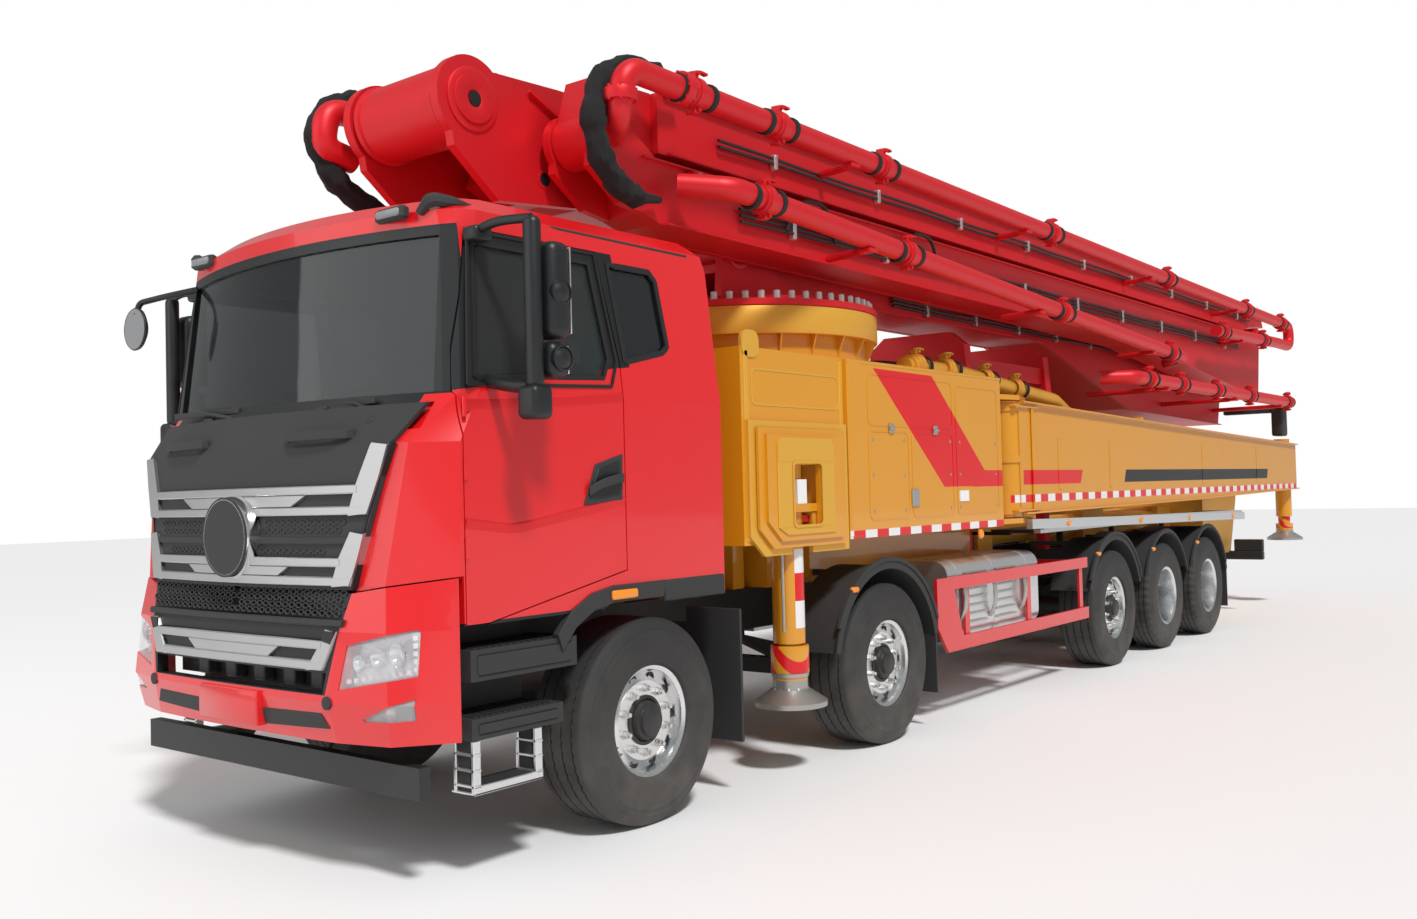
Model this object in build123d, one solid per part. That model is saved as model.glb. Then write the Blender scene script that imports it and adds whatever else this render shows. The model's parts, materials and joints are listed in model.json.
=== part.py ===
"""Five-axle concrete pump truck with a folded five-arm placing boom.

Frame of the part: +X forward, +Y to the left, +Z up, millimetres, origin on the ground
under the middle of the vehicle. The pieces are drawn with the front axle at x = 0 and
moved forward by FRONT_AXLE_X when they are written.
"""
import os
from math import cos, radians, sin

from build123d import *

os.makedirs("parts", exist_ok=True)

# ---------------------------------------------------------------- driving dimensions
# Wheels: 385/65 R22.5 singles on axles 1 to 3, twins on axles 4 and 5
TYRE_DIAMETER = 1072
WIDE_TYRE_WIDTH = 385
TWIN_TYRE_WIDTH = 300
TWIN_SPACING = 340
RIM_RADIUS = 286
RIM_WALL = 24
HUB_RADIUS = 125
HUB_BORE = 50
SPINDLE_CLEARANCE = 5
WHEEL_OUTER_Y = 1240

# Axles, measured back from the front axle
AXLE_2_X = -2420
AXLE_3_X = -6610
AXLE_4_X = -8040
AXLE_5_X = -9440
KINGPIN_Y = 930
KINGPIN_RADIUS = 28

# Ladder frame
RAIL_OUTER_Y = 440
RAIL_FLANGE = 85
RAIL_WALL = 12
RAIL_BOTTOM = 780
RAIL_TOP = 1060
RAIL_FRONT = 1180
RAIL_REAR = -10900
SPRING_Y = 400
SPRING_HALF_LENGTH = 620

# Cab
CAB_HALF_WIDTH = 1245
CAB_ROOF_HALF_WIDTH = CAB_HALF_WIDTH - 80
CAB_REAR = -610
CAB_FLOOR = 1150
CAB_BELT = 2200
CAB_HEAD = 2960
CAB_ROOF = 3120
CAB_FRONT = 1590
CAB_FRONT_BELT = 1440
CAB_FRONT_HEAD = 1370
CAB_WALL = 60
GLASS_THICKNESS = 8
SHUT_GAP = 7
DOOR_FRONT = 1255
DOOR_REAR = 190
ARCH_RADIUS = 715

# Front end
BUMPER_FRONT = 1656
BUMPER_BOTTOM = 650
BUMPER_TOP = 1310
PARTING_RISE = 80
ROUNDEL_FRONT = 1676
UNDERRUN_FRONT = 1454
UNDERRUN_HALF_WIDTH = 1153

# Bodywork behind the cab
BODY_HALF_WIDTH = 1240
BOX_FRONT = -850
BOX_REAR = -1950
BOX_BOTTOM = 1400
BOX_TOP = 2560
CABINET_REAR = -4220
PEDESTAL_HALF_WIDTH = 640
CABINET_BOTTOM = 1390
CABINET_TOP = 2550

# Slewing ring and turret
SLEW_X = -2500
RING_RADIUS = 1000
RING_TOP = 3000
PLATE_THICKNESS = 24

# Outriggers
FRONT_LEG_X = -1410
FRONT_STAGE_WIDTH = 400
STAGE_WALL = 16
STAGE_CLEARANCE = 6
FRONT_BEAM_BOTTOM = 1560
FRONT_BEAM_HEIGHT = 380
REAR_HINGE_X = -4600
REAR_HINGE_Y = 1080
REAR_BEAM_WIDTH = 280
REAR_BEAM_END = -13560
REAR_LEG_X = -13400
LEG_RADIUS = 100
FOOT_RADIUS = 225
FRONT_FOOT_BOTTOM = 400
REAR_FOOT_BOTTOM = 860

# Boom: pins of the five arms in the side view
REAR_CLEAR = -14200
PIN_1 = (-2000, 3390)
PIN_2 = (-13840, 3400)
PIN_3 = (430, 3870)
PIN_4 = (-13480, 3690)
PIN_5 = (-200, 3720)
PIN_RADIUS = 60
CENTRE_HALF_WIDTH = 280
SIDE_LANE_INNER = 470
SIDE_LANE_OUTER = 800
LANE_GAP = 12
PIPE_RADIUS = 70
PIPE_BEND = 260
PIPE_Y = 1100
TIP_RUN = ((-13300, PIPE_Y, 3560), (-10500, PIPE_Y, 3490))

# ---------------------------------------------------------------- worked out from these
WHEEL_RADIUS = TYRE_DIAMETER / 2
FRONT_LEG_Y = BODY_HALF_WIDTH - LEG_RADIUS - 25
WIDE_WHEEL_Y = WHEEL_OUTER_Y - WIDE_TYRE_WIDTH / 2
TWIN_WHEEL_Y = WHEEL_OUTER_Y - TWIN_TYRE_WIDTH / 2 - TWIN_SPACING / 2
REAR_END = PIN_2[0] - 210
FRONT_AXLE_X = -(ROUNDEL_FRONT + REAR_END) / 2
SIDES = (("left", 1), ("right", -1))


# ---------------------------------------------------------------- helpers
def save(name, shape):
    """Write one node, moved from front-axle coordinates to the part's own frame."""
    moved = Pos(FRONT_AXLE_X, 0, 0) * Compound(children=list(shape.solids()))
    export_step(moved, f"parts/{name}.step")


def block(x0, x1, y0, y1, z0, z1):
    """Box between two corners."""
    size = (abs(x1 - x0), abs(y1 - y0), abs(z1 - z0))
    return Pos((x0 + x1) / 2, (y0 + y1) / 2, (z0 + z1) / 2) * Box(*size)


def prism_y(points, y0, y1):
    """Side-view outline (x, z) swept across the vehicle from y0 to y1."""
    face = Face(Wire.make_polygon([(x, y0, z) for x, z in points]))
    return Solid.extrude(face, Vector(0, y1 - y0, 0))


def prism_x(points, x0, x1):
    """Front-view outline (y, z) swept along the vehicle from x0 to x1."""
    face = Face(Wire.make_polygon([(x0, y, z) for y, z in points]))
    return Solid.extrude(face, Vector(x1 - x0, 0, 0))


def prism_z(points, z0, z1):
    """Plan outline (x, y) swept upwards from z0 to z1."""
    face = Face(Wire.make_polygon([(x, y, z0) for x, y in points]))
    return Solid.extrude(face, Vector(0, 0, z1 - z0))


def round_y(x, z, radius, y0, y1):
    """Cylinder across the vehicle."""
    plane = Plane(origin=(x, min(y0, y1), z), z_dir=(0, 1, 0))
    return Solid.make_cylinder(radius, abs(y1 - y0), plane)


def round_x(y, z, radius, x0, x1):
    """Cylinder along the vehicle."""
    plane = Plane(origin=(min(x0, x1), y, z), z_dir=(1, 0, 0))
    return Solid.make_cylinder(radius, abs(x1 - x0), plane)


def round_z(x, y, radius, z0, z1):
    """Upright cylinder."""
    return Solid.make_cylinder(radius, z1 - z0, Plane(origin=(x, y, z0)))


def side_of(shape, sign):
    """The shape itself on the left (+1), its mirror image on the right (-1)."""
    return shape if sign > 0 else mirror(shape, about=Plane.XZ)


def both_sides(shape):
    """The shape and its mirror image."""
    return fuse([shape, mirror(shape, about=Plane.XZ)])


def fuse(shapes):
    """One shape from a list of shapes."""
    first, *rest = shapes
    return first.fuse(*rest) if rest else first


def common(first, second):
    """The solids two shapes share, as one shape."""
    return fuse(list(first.intersect(second).solids()))


def tube_along(points, radii, radius):
    """Round bar along straight runs joined by tangent arcs."""
    path = FilletPolyline(*points, radius=radii)
    start = Plane(origin=path @ 0, z_dir=path % 0)
    return sweep(start * Circle(radius), path=path).solids()[0]


def ring_part(x, z, inner, outer, start, end, y0, y1):
    """Part of a ring about a cross axis, angles in degrees up from +X."""
    def at(radius, angle):
        return (x + radius * cos(radians(angle)), y0, z + radius * sin(radians(angle)))
    middle = (start + end) / 2
    edges = [
        ThreePointArc(at(outer, start), at(outer, middle), at(outer, end)),
        Line(at(outer, end), at(inner, end)),
        ThreePointArc(at(inner, end), at(inner, middle), at(inner, start)),
        Line(at(inner, start), at(outer, start)),
    ]
    face = Face(Wire(edges))
    return Solid.extrude(face, Vector(0, y1 - y0, 0))


# ---------------------------------------------------------------- wheels and axles
def tyre(width, y):
    """Tyre about a cross axis at the origin, centred on y."""
    half = width / 2
    top = WHEEL_RADIUS
    edges = [
        Line((RIM_RADIUS, -half + 25), (RIM_RADIUS, half - 25)),
        ThreePointArc((RIM_RADIUS, half - 25), (0.72 * top, half), (top - 70, half - 8)),
        ThreePointArc((top - 70, half - 8), (top - 22, half - 24), (top, half - 60)),
        Line((top, half - 60), (top, -half + 60)),
        ThreePointArc((top, -half + 60), (top - 22, -half + 24), (top - 70, -half + 8)),
        ThreePointArc((top - 70, -half + 8), (0.72 * top, -half), (RIM_RADIUS, -half + 25)),
    ]
    return Pos(0, y, 0) * revolve(Face(Wire(edges)), axis=Axis.Y)


def turned(points):
    """Solid turned about the cross axis from (radius, y) points."""
    face = Face(Wire.make_polygon([(r, y, 0) for r, y in points]))
    return revolve(face, axis=Axis.Y)


def rim(y, half, disc):
    """Rim barrel with its disc; disc is the y of the disc's outer face from the middle."""
    inner = RIM_RADIUS - RIM_WALL
    barrel = turned([
        (inner, -half), (RIM_RADIUS + 14, -half), (RIM_RADIUS + 14, -half + 12),
        (RIM_RADIUS, -half + 20), (RIM_RADIUS, half - 20),
        (RIM_RADIUS + 14, half - 12), (RIM_RADIUS + 14, half), (inner, half),
    ])
    plate = turned([(HUB_RADIUS - 20, disc - 22), (HUB_RADIUS - 20, disc), (205, disc),
                    (inner + 4, disc - 26), (inner + 4, disc - 48), (200, disc - 22)])
    return Pos(0, y, 0) * barrel.fuse(plate)


HAND_HOLES = 10
HAND_HOLE_RADIUS = 27
HAND_HOLE_CIRCLE = 226


def hand_holes(y0, y1):
    """Ring of round openings through a wheel disc."""
    step = 360 / HAND_HOLES
    holes = []
    for index in range(HAND_HOLES):
        angle = radians(step * (index + 0.5))
        x = HAND_HOLE_CIRCLE * cos(angle)
        z = HAND_HOLE_CIRCLE * sin(angle)
        holes.append(round_y(x, z, HAND_HOLE_RADIUS, y0, y1))
    return holes


def wide_wheel():
    """Single wheel with its convex disc and hub, outer face towards +Y."""
    disc = 118
    hub = turned([(HUB_BORE, -15), (HUB_RADIUS, -15), (HUB_RADIUS, 128), (98, 150),
                  (82, 152), (78, 176), (0, 180), (0, 62), (HUB_BORE, 62)])
    rims = rim(0, WIDE_TYRE_WIDTH / 2 - 42, disc).cut(*hand_holes(disc - 60, disc + 10))
    return fuse([tyre(WIDE_TYRE_WIDTH, 0), rims, hub])


TWIN_BORE = 66


def twin_wheel():
    """Two wheels bolted back to back on one hub, outer face towards +Y."""
    spacing = TWIN_SPACING / 2
    barrel_half = TWIN_TYRE_WIDTH / 2 - 22
    inner = RIM_RADIUS - RIM_WALL
    discs = turned([(HUB_RADIUS - 10, -22), (inner + 4, -spacing + barrel_half - 44),
                    (inner + 4, spacing - barrel_half + 44), (HUB_RADIUS - 10, 22)])
    discs = discs.cut(*hand_holes(-80, 80))
    hub = turned([(TWIN_BORE, -120), (205, -120), (205, -30), (HUB_RADIUS, -30),
                  (HUB_RADIUS, 80), (112, 108), (0, 112), (0, 66), (TWIN_BORE, 66)])
    pieces = [discs, hub]
    for sign in (-1, 1):
        y = sign * spacing
        edge = barrel_half
        pieces.append(Pos(0, y, 0) * turned([
            (inner, -edge), (RIM_RADIUS + 14, -edge), (RIM_RADIUS + 14, -edge + 12),
            (RIM_RADIUS, -edge + 20), (RIM_RADIUS, edge - 20),
            (RIM_RADIUS + 14, edge - 12), (RIM_RADIUS + 14, edge), (inner, edge)]))
        pieces.append(tyre(TWIN_TYRE_WIDTH, y))
    return fuse(pieces)


# Axles: x, kind
AXLES = (
    (0, "steered"),
    (AXLE_2_X, "steered"),
    (AXLE_3_X, "single"),
    (AXLE_4_X, "twin"),
    (AXLE_5_X, "twin"),
)
EYE_RADIUS = 60
EYE_HALF_HEIGHT = 80
EAR_GAP = 5
EAR_HEIGHT = 70
SPINDLE_RADIUS = HUB_BORE - SPINDLE_CLEARANCE


def spring(x, seat):
    """Leaf spring on its axle seat, hung under the rail."""
    y0 = SPRING_Y - 35
    y1 = SPRING_Y + 35
    pack = prism_y([(x - SPRING_HALF_LENGTH, RAIL_BOTTOM - 60), (x - 120, seat),
                    (x + 120, seat), (x + SPRING_HALF_LENGTH, RAIL_BOTTOM - 60),
                    (x + SPRING_HALF_LENGTH, RAIL_BOTTOM - 20), (x, seat + 95),
                    (x - SPRING_HALF_LENGTH, RAIL_BOTTOM - 20)], y0, y1)
    hangers = []
    for end in (-1, 1):
        middle = x + end * SPRING_HALF_LENGTH
        hangers.append(block(middle - 50, middle + 50, y0 - 5, y1 + 5,
                             RAIL_BOTTOM - 80, RAIL_BOTTOM))
    return fuse([pack] + hangers)


def steered_beam(x):
    """Dropped I-beam axle with an eye and kingpin at each end."""
    half = EYE_HALF_HEIGHT - 20
    z = WHEEL_RADIUS
    low = z - 130
    beam = prism_x([(-KINGPIN_Y, z - half), (-700, z - half), (-560, low),
                    (560, low), (700, z - half), (KINGPIN_Y, z - half),
                    (KINGPIN_Y, z + half), (680, z + half), (540, low + 110),
                    (-540, low + 110), (-680, z + half), (-KINGPIN_Y, z + half)],
                   x - 50, x + 50)
    pieces = [beam]
    for _, sign in SIDES:
        y = sign * KINGPIN_Y
        pin_half = EYE_HALF_HEIGHT + EAR_GAP + EAR_HEIGHT - 5
        pieces.append(round_z(x, y, EYE_RADIUS, z - EYE_HALF_HEIGHT, z + EYE_HALF_HEIGHT))
        pieces.append(round_z(x, y, KINGPIN_RADIUS, z - pin_half, z + pin_half))
        pieces.append(side_of(spring(x, low + 110), sign))
    return fuse(pieces)


def fixed_beam(x, kind):
    """Straight axle with a spindle at each end, and a differential when it drives."""
    z = WHEEL_RADIUS
    if kind == "twin":
        tube_end, spindle, tip = TWIN_WHEEL_Y - 135, TWIN_BORE - 5, TWIN_WHEEL_Y + 60
    else:
        tube_end, spindle, tip = WIDE_WHEEL_Y - 30, SPINDLE_RADIUS, WIDE_WHEEL_Y + 55
    pieces = [round_y(x, z, 85, -tube_end, tube_end), round_y(x, z, spindle, -tip, tip)]
    if kind == "twin":
        pieces.append(Pos(x, 0, z) * Sphere(225))
    pieces += [side_of(spring(x, z + 40), sign) for _, sign in SIDES]
    return fuse(pieces)


def knuckle():
    """Steering yoke about the kingpin with the wheel's spindle, at the origin."""
    ear_low = EYE_HALF_HEIGHT + EAR_GAP
    plate_y = EYE_RADIUS + 12
    hub_y = WIDE_WHEEL_Y - KINGPIN_Y
    ears = []
    for sign in (-1, 1):
        z0 = min(sign * ear_low, sign * (ear_low + EAR_HEIGHT))
        ears.append(round_z(0, 0, EYE_RADIUS, z0, z0 + EAR_HEIGHT))
        ears.append(block(-EYE_RADIUS, EYE_RADIUS, 0, plate_y + 8, z0, z0 + EAR_HEIGHT))
    reach = ear_low + EAR_HEIGHT
    ears.append(block(-EYE_RADIUS, EYE_RADIUS, plate_y, plate_y + 22, -reach, reach))
    ears.append(round_y(0, 0, SPINDLE_RADIUS, plate_y, hub_y + 55))
    bore = round_z(0, 0, KINGPIN_RADIUS + 3, -reach - 5, reach + 5)
    return fuse(ears).cut(bore)


def build_running_gear():
    """Axles, knuckles and the ten wheel bodies."""
    beams = []
    for number, (x, kind) in enumerate(AXLES, 1):
        beams.append(steered_beam(x) if kind == "steered" else fixed_beam(x, kind))
        y = TWIN_WHEEL_Y if kind == "twin" else WIDE_WHEEL_Y
        wheel = twin_wheel() if kind == "twin" else wide_wheel()
        for side, sign in SIDES:
            placed = Pos(x, y, WHEEL_RADIUS) * wheel
            save(f"wheel_{number}_{side}", side_of(placed, sign))
            if kind == "steered":
                yoke = Pos(x, KINGPIN_Y, WHEEL_RADIUS) * knuckle()
                save(f"knuckle_{number}_{side}", side_of(yoke, sign))
    save("axles", Compound(children=[s for beam in beams for s in beam.solids()]))


# ---------------------------------------------------------------- chassis
CROSSMEMBERS = (900, -1150, -3600, -5400, -7300, -8740, -10300)


def rail():
    """One C-section side rail."""
    y0 = RAIL_OUTER_Y - RAIL_FLANGE
    y1 = RAIL_OUTER_Y
    wall = RAIL_WALL
    section = [(y0, RAIL_BOTTOM), (y1, RAIL_BOTTOM), (y1, RAIL_TOP), (y0, RAIL_TOP),
               (y0, RAIL_TOP - wall), (y1 - wall, RAIL_TOP - wall),
               (y1 - wall, RAIL_BOTTOM + wall), (y0, RAIL_BOTTOM + wall)]
    return prism_x(section, RAIL_REAR, RAIL_FRONT)


def build_chassis():
    """Ladder frame, engine block, tanks, guards, fenders and deck."""
    web = RAIL_OUTER_Y - RAIL_WALL
    pieces = [both_sides(rail())]
    for x in CROSSMEMBERS:
        pieces.append(block(x - 40, x + 40, -web, web, RAIL_BOTTOM + 60, RAIL_TOP - 60))
    save("frame", fuse(pieces + [underrun_bar()]))

    save("engine_block", block(-780, 620, -330, 330, 600, 1130))

    build_tanks()
    build_guards()
    build_fenders()
    build_deck()


TANK_FRONT = -3360
TANK_REAR = -4960
TANK_BOTTOM = 560
TANK_TOP = 1160


def build_tanks():
    """Fuel tank on the left, battery and air box on the right, hung from the rails."""
    middle_y = BODY_HALF_WIDTH - 350
    body = block(TANK_REAR, TANK_FRONT, middle_y - 290, middle_y + 290, TANK_BOTTOM, TANK_TOP)
    body = fillet(body.edges().filter_by(Axis.X), 110)
    straps = []
    for share in (0.12, 0.5, 0.88):
        x = TANK_REAR + share * (TANK_FRONT - TANK_REAR)
        band = block(x - 35, x + 35, middle_y - 296, middle_y + 296, TANK_BOTTOM - 6, TANK_TOP + 6)
        band = fillet(band.edges().filter_by(Axis.X), 114)
        straps.append(band)
        straps.append(block(x - 35, x + 35, RAIL_OUTER_Y, middle_y - 280, RAIL_BOTTOM + 40,
                            RAIL_TOP - 40))
    left = fuse([body] + straps)
    box_right = block(TANK_REAR, TANK_FRONT, -middle_y - 290, -middle_y + 290, TANK_BOTTOM, TANK_TOP)
    feet = [block(TANK_REAR + share, TANK_REAR + share + 80, -middle_y + 290, -RAIL_OUTER_Y,
                  RAIL_BOTTOM + 40, RAIL_TOP - 40) for share in (200, 1300)]
    save("tanks", Compound(children=[*left.solids(), *fuse([box_right] + feet).solids()]))


GUARD_FRONT = -3090
GUARD_REAR = -5900


def build_guards():
    """Red side guards of two rails and their posts, both sides."""
    outer = BODY_HALF_WIDTH
    inner = outer - 25
    rails = [block(GUARD_REAR, GUARD_FRONT, inner, outer, 960, 1050),
             block(GUARD_REAR, GUARD_FRONT - 150, inner, outer, 510, 610)]
    front = prism_y([(GUARD_FRONT, 1050), (GUARD_FRONT - 230, 1050), (GUARD_FRONT - 420, 510),
                     (GUARD_FRONT - 150, 510), (GUARD_FRONT, 700)], inner, outer)
    posts = [block(x - 35, x + 35, inner - 20, inner, 510, 1050) for x in (-3600, -4700, -5800)]
    stays = [block(x - 30, x + 30, RAIL_OUTER_Y, inner, 985, 1030) for x in (-5150, -5800)]
    guard = fuse(rails + [front] + posts + stays)
    save("side_guards", both_sides(guard))


FENDER_RADIUS = 640
FENDER_SKIN = 18
# Fenders: axle x, start and end angle, inner y, y where its stay starts, has a mud flap
FENDERS = (
    (AXLE_2_X, 12, 168, 850, PEDESTAL_HALF_WIDTH, True),
    (AXLE_3_X, 18, 162, 850, RAIL_OUTER_Y - 50, False),
    (AXLE_4_X, 24, 156, 560, RAIL_OUTER_Y - 50, False),
    (AXLE_5_X, 24, 168, 560, RAIL_OUTER_Y - 50, True),
)


def build_fenders():
    """Black arches over axles 2 to 5 with flaps, and the flap behind axle 1."""
    pieces = []
    top = WHEEL_RADIUS + FENDER_RADIUS
    z = WHEEL_RADIUS
    for x, start, end, inner, stay_y, flap in FENDERS:
        pieces.append(ring_part(x, z, FENDER_RADIUS, FENDER_RADIUS + FENDER_SKIN, start, end,
                                inner, BODY_HALF_WIDTH))
        pieces.append(ring_part(x, z, FENDER_RADIUS - 5, FENDER_RADIUS + 45, start, end,
                                BODY_HALF_WIDTH - 12, BODY_HALF_WIDTH))
        pieces.append(block(x - 25, x + 25, stay_y, inner + 30, top - 60, top - 20))
        pieces.append(block(x - 25, x + 25, inner, inner + 30, top - 60, top + 4))
        if stay_y < RAIL_OUTER_Y:
            pieces.append(block(x - 25, x + 25, stay_y, RAIL_OUTER_Y, RAIL_TOP, top - 20))
        if flap:
            back = x + (FENDER_RADIUS + 5) * cos(radians(end))
            low = z + (FENDER_RADIUS + 5) * sin(radians(end))
            pieces.append(block(back - 12, back + 3, inner, BODY_HALF_WIDTH, 250, low + 4))
    pieces.append(block(-762, -742, 850, BODY_HALF_WIDTH, 300, 1050))
    pieces.append(block(-762, -742, RAIL_OUTER_Y, 850, 880, 960))
    save("fenders", both_sides(fuse(pieces)))


DECK_FRONT = -4980
DECK_REAR = -10900


def build_deck():
    """Aluminium-edged walkway over the rear wheels, both sides."""
    tread = block(DECK_REAR, DECK_FRONT, 760, BODY_HALF_WIDTH - 30, 1300, 1330)
    edge = prism_y([(DECK_FRONT, 1410), (DECK_FRONT, 1335), (DECK_REAR, 1225), (DECK_REAR, 1300),
                    (DECK_REAR + 300, 1340)], BODY_HALF_WIDTH - 30, BODY_HALF_WIDTH)
    stays = [block(x - 25, x + 25, RAIL_OUTER_Y - 10, 800, 1270, 1300) for x in (-5300, -7300, -8740, -10400)]
    legs = [block(x - 25, x + 25, RAIL_OUTER_Y - 60, RAIL_OUTER_Y - 10, RAIL_TOP, 1300)
            for x in (-5300, -7300, -8740, -10400)]
    save("deck", both_sides(fuse([tread, edge] + stays + legs)))


# ---------------------------------------------------------------- cab
# Cab sections from the floor up: z, front x at the middle, edge of the front (x, in from
# the side), corner (x, in), side x, half width, rear x
CAB_SECTIONS = (
    (CAB_FLOOR, CAB_FRONT - 20, (1520, 430), (1490, 230), 1278, CAB_HALF_WIDTH, CAB_REAR),
    (1340, CAB_FRONT, (1537, 395), (1515, 225), 1278, CAB_HALF_WIDTH, CAB_REAR),
    (1970, CAB_FRONT - 47, (1465, 198), (1440, 140), 1268, CAB_HALF_WIDTH, CAB_REAR),
    (CAB_BELT, CAB_FRONT_BELT, (1270, 110), (1235, 32), 1150, CAB_HALF_WIDTH, CAB_REAR),
    (CAB_HEAD, CAB_FRONT_HEAD, (1200, 110), (1165, 32), 1080, CAB_ROOF_HALF_WIDTH,
     CAB_REAR + 10),
    (CAB_ROOF - 75, CAB_FRONT_HEAD + 5, (1205, 120), (1165, 42), 1075,
     CAB_ROOF_HALF_WIDTH - 12, CAB_REAR + 40),
    (CAB_ROOF, CAB_FRONT_HEAD - 90, (1110, 120), (1070, 42), 980, CAB_ROOF_HALF_WIDTH - 95,
     CAB_REAR + 130),
)
# Bumper sections from the bottom up: the same values
BUMPER_SECTIONS = (
    (BUMPER_BOTTOM, BUMPER_FRONT - 36, (1595, 475), (1530, 185), 1296, CAB_HALF_WIDTH, 900),
    (830, BUMPER_FRONT, (1637, 496), (1565, 155), 1300, CAB_HALF_WIDTH, 900),
    (1143, BUMPER_FRONT - 26, (1606, 443), (1545, 185), 1305, CAB_HALF_WIDTH, 900),
    (BUMPER_TOP + PARTING_RISE, BUMPER_FRONT - 66, (1550, 405), (1510, 225), 1300,
     CAB_HALF_WIDTH, 900),
)


def plan_outline(section, inset=0, lift=0):
    """Plan of the cab at one height: bowed front, a facet at each corner, straight sides."""
    height, front, edge, corner, side_x, half, rear = section
    z = height + lift
    front -= inset
    edge = (edge[0] - inset, half - edge[1] - inset / 2)
    corner = (corner[0] - 0.75 * inset, half - corner[1] - 0.75 * inset)
    side = (side_x - inset / 2, half - inset)
    rear += inset
    edges = [Line((rear, -side[1], z), (side[0], -side[1], z)),
             Line((side[0], -side[1], z), (corner[0], -corner[1], z)),
             Line((corner[0], -corner[1], z), (edge[0], -edge[1], z)),
             ThreePointArc((edge[0], -edge[1], z), (front, 0, z), (edge[0], edge[1], z)),
             Line((edge[0], edge[1], z), (corner[0], corner[1], z)),
             Line((corner[0], corner[1], z), (side[0], side[1], z)),
             Line((side[0], side[1], z), (rear, side[1], z)),
             Line((rear, side[1], z), (rear, -side[1], z))]
    return Wire(edges)


def cab_solid(inset):
    """The cab's outer form drawn in by an inset on every side."""
    last = len(CAB_SECTIONS) - 1
    wires = []
    for index, section in enumerate(CAB_SECTIONS):
        lift = inset if index == 0 else (-inset if index == last else 0)
        wires.append(plan_outline(section, inset, lift))
    return Solid.make_loft(wires, ruled=True)


def bumper_solid(inset, over=0):
    """The bumper's outer form drawn in by an inset, with its ends run past by over."""
    last = len(BUMPER_SECTIONS) - 1
    wires = []
    for index, section in enumerate(BUMPER_SECTIONS):
        lift = -over if index == 0 else (over if index == last else 0)
        wires.append(plan_outline(section, inset, lift))
    return Solid.make_loft(wires, ruled=True)


def curved_slab(sections):
    """Bowed slab through (z, outer x, inner x, edge x outer, edge x inner, edge y) sections."""
    wires = []
    for z, outer, inner, edge_outer, edge_inner, edge_y in sections:
        wires.append(Wire([
            ThreePointArc((edge_outer, -edge_y, z), (outer, 0, z), (edge_outer, edge_y, z)),
            Line((edge_outer, edge_y, z), (edge_inner, edge_y, z)),
            ThreePointArc((edge_inner, edge_y, z), (inner, 0, z), (edge_inner, -edge_y, z)),
            Line((edge_inner, -edge_y, z), (edge_outer, -edge_y, z))]))
    return Solid.make_loft(wires, ruled=True)


# Door outline in the side view (x, z), clockwise from the front foot
DOOR_OUTLINE = (
    (DOOR_FRONT, CAB_FLOOR), (DOOR_FRONT, 2290), (DOOR_FRONT - 115, CAB_HEAD - 5),
    (DOOR_REAR + 110, CAB_HEAD - 5), (DOOR_REAR, 2380), (DOOR_REAR, 1330),
    (DOOR_FRONT - 130, CAB_FLOOR),
)
DOOR_WINDOW = (
    (DOOR_FRONT - 90, 2260), (DOOR_FRONT - 145, 2890), (DOOR_REAR + 165, 2890),
    (DOOR_REAR + 85, 2400), (DOOR_REAR + 130, 2300),
)
REAR_WINDOW = ((150, 2395), (215, 2895), (-105, 2895), (-150, 2850), (-195, 2500), (-150, 2465))
# Shallow relief in the cab's face (y, z) where the front panel's upper corner swings past
PANEL_RELIEF = ((CAB_HALF_WIDTH - 465, 2030), (CAB_HALF_WIDTH - 120, 2030),
                (CAB_HALF_WIDTH - 120, 2152), (CAB_HALF_WIDTH - 465, 2152))
RELIEF_DEPTH = 24
SCREEN_LOW = CAB_HALF_WIDTH - 155
SCREEN_HIGH = CAB_ROOF_HALF_WIDTH - 110
WINDSCREEN = ((-SCREEN_LOW, CAB_BELT), (SCREEN_LOW, CAB_BELT), (SCREEN_HIGH, CAB_HEAD - 35),
              (-SCREEN_HIGH, CAB_HEAD - 35))
# The side wall's inner face (y, z) stands this far inside the outer form
SIDE_DEPTH = 75
HINGE_BARREL = 10


def side_band(gap):
    """Room taken by the left side wall, from its inner face outwards."""
    low = CAB_HALF_WIDTH - SIDE_DEPTH + gap
    high = CAB_ROOF_HALF_WIDTH - SIDE_DEPTH + gap
    outer = CAB_HALF_WIDTH + 100
    return prism_x([(low, 1000), (outer, 1000), (outer, 3200), (high, 3200), (high, CAB_HEAD),
                    (low, CAB_BELT)], -900, 1700)


def parting(drop):
    """Room below the slanted joint between the cab front and the bumper."""
    edge = CAB_HALF_WIDTH - 395
    z = BUMPER_TOP - drop
    return prism_x([(-1400, z + PARTING_RISE), (-edge, z), (edge, z), (1400, z + PARTING_RISE),
                    (1400, 400), (-1400, 400)], DOOR_FRONT + SHUT_GAP, 1800)


def arch_cut(y0, y1):
    """Room for the front wheel under the cab side."""
    return round_y(0, WHEEL_RADIUS, ARCH_RADIUS, y0, y1)


def in_from(points, gap):
    """Outline scaled about its middle so that each edge stands about one gap inside."""
    middle_x = sum(p[0] for p in points) / len(points)
    middle_z = sum(p[1] for p in points) / len(points)
    half_x = (max(p[0] for p in points) - min(p[0] for p in points)) / 2
    half_z = (max(p[1] for p in points) - min(p[1] for p in points)) / 2
    return [(middle_x + (x - middle_x) * (1 - gap / half_x),
             middle_z + (z - middle_z) * (1 - gap / half_z)) for x, z in points]


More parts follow.
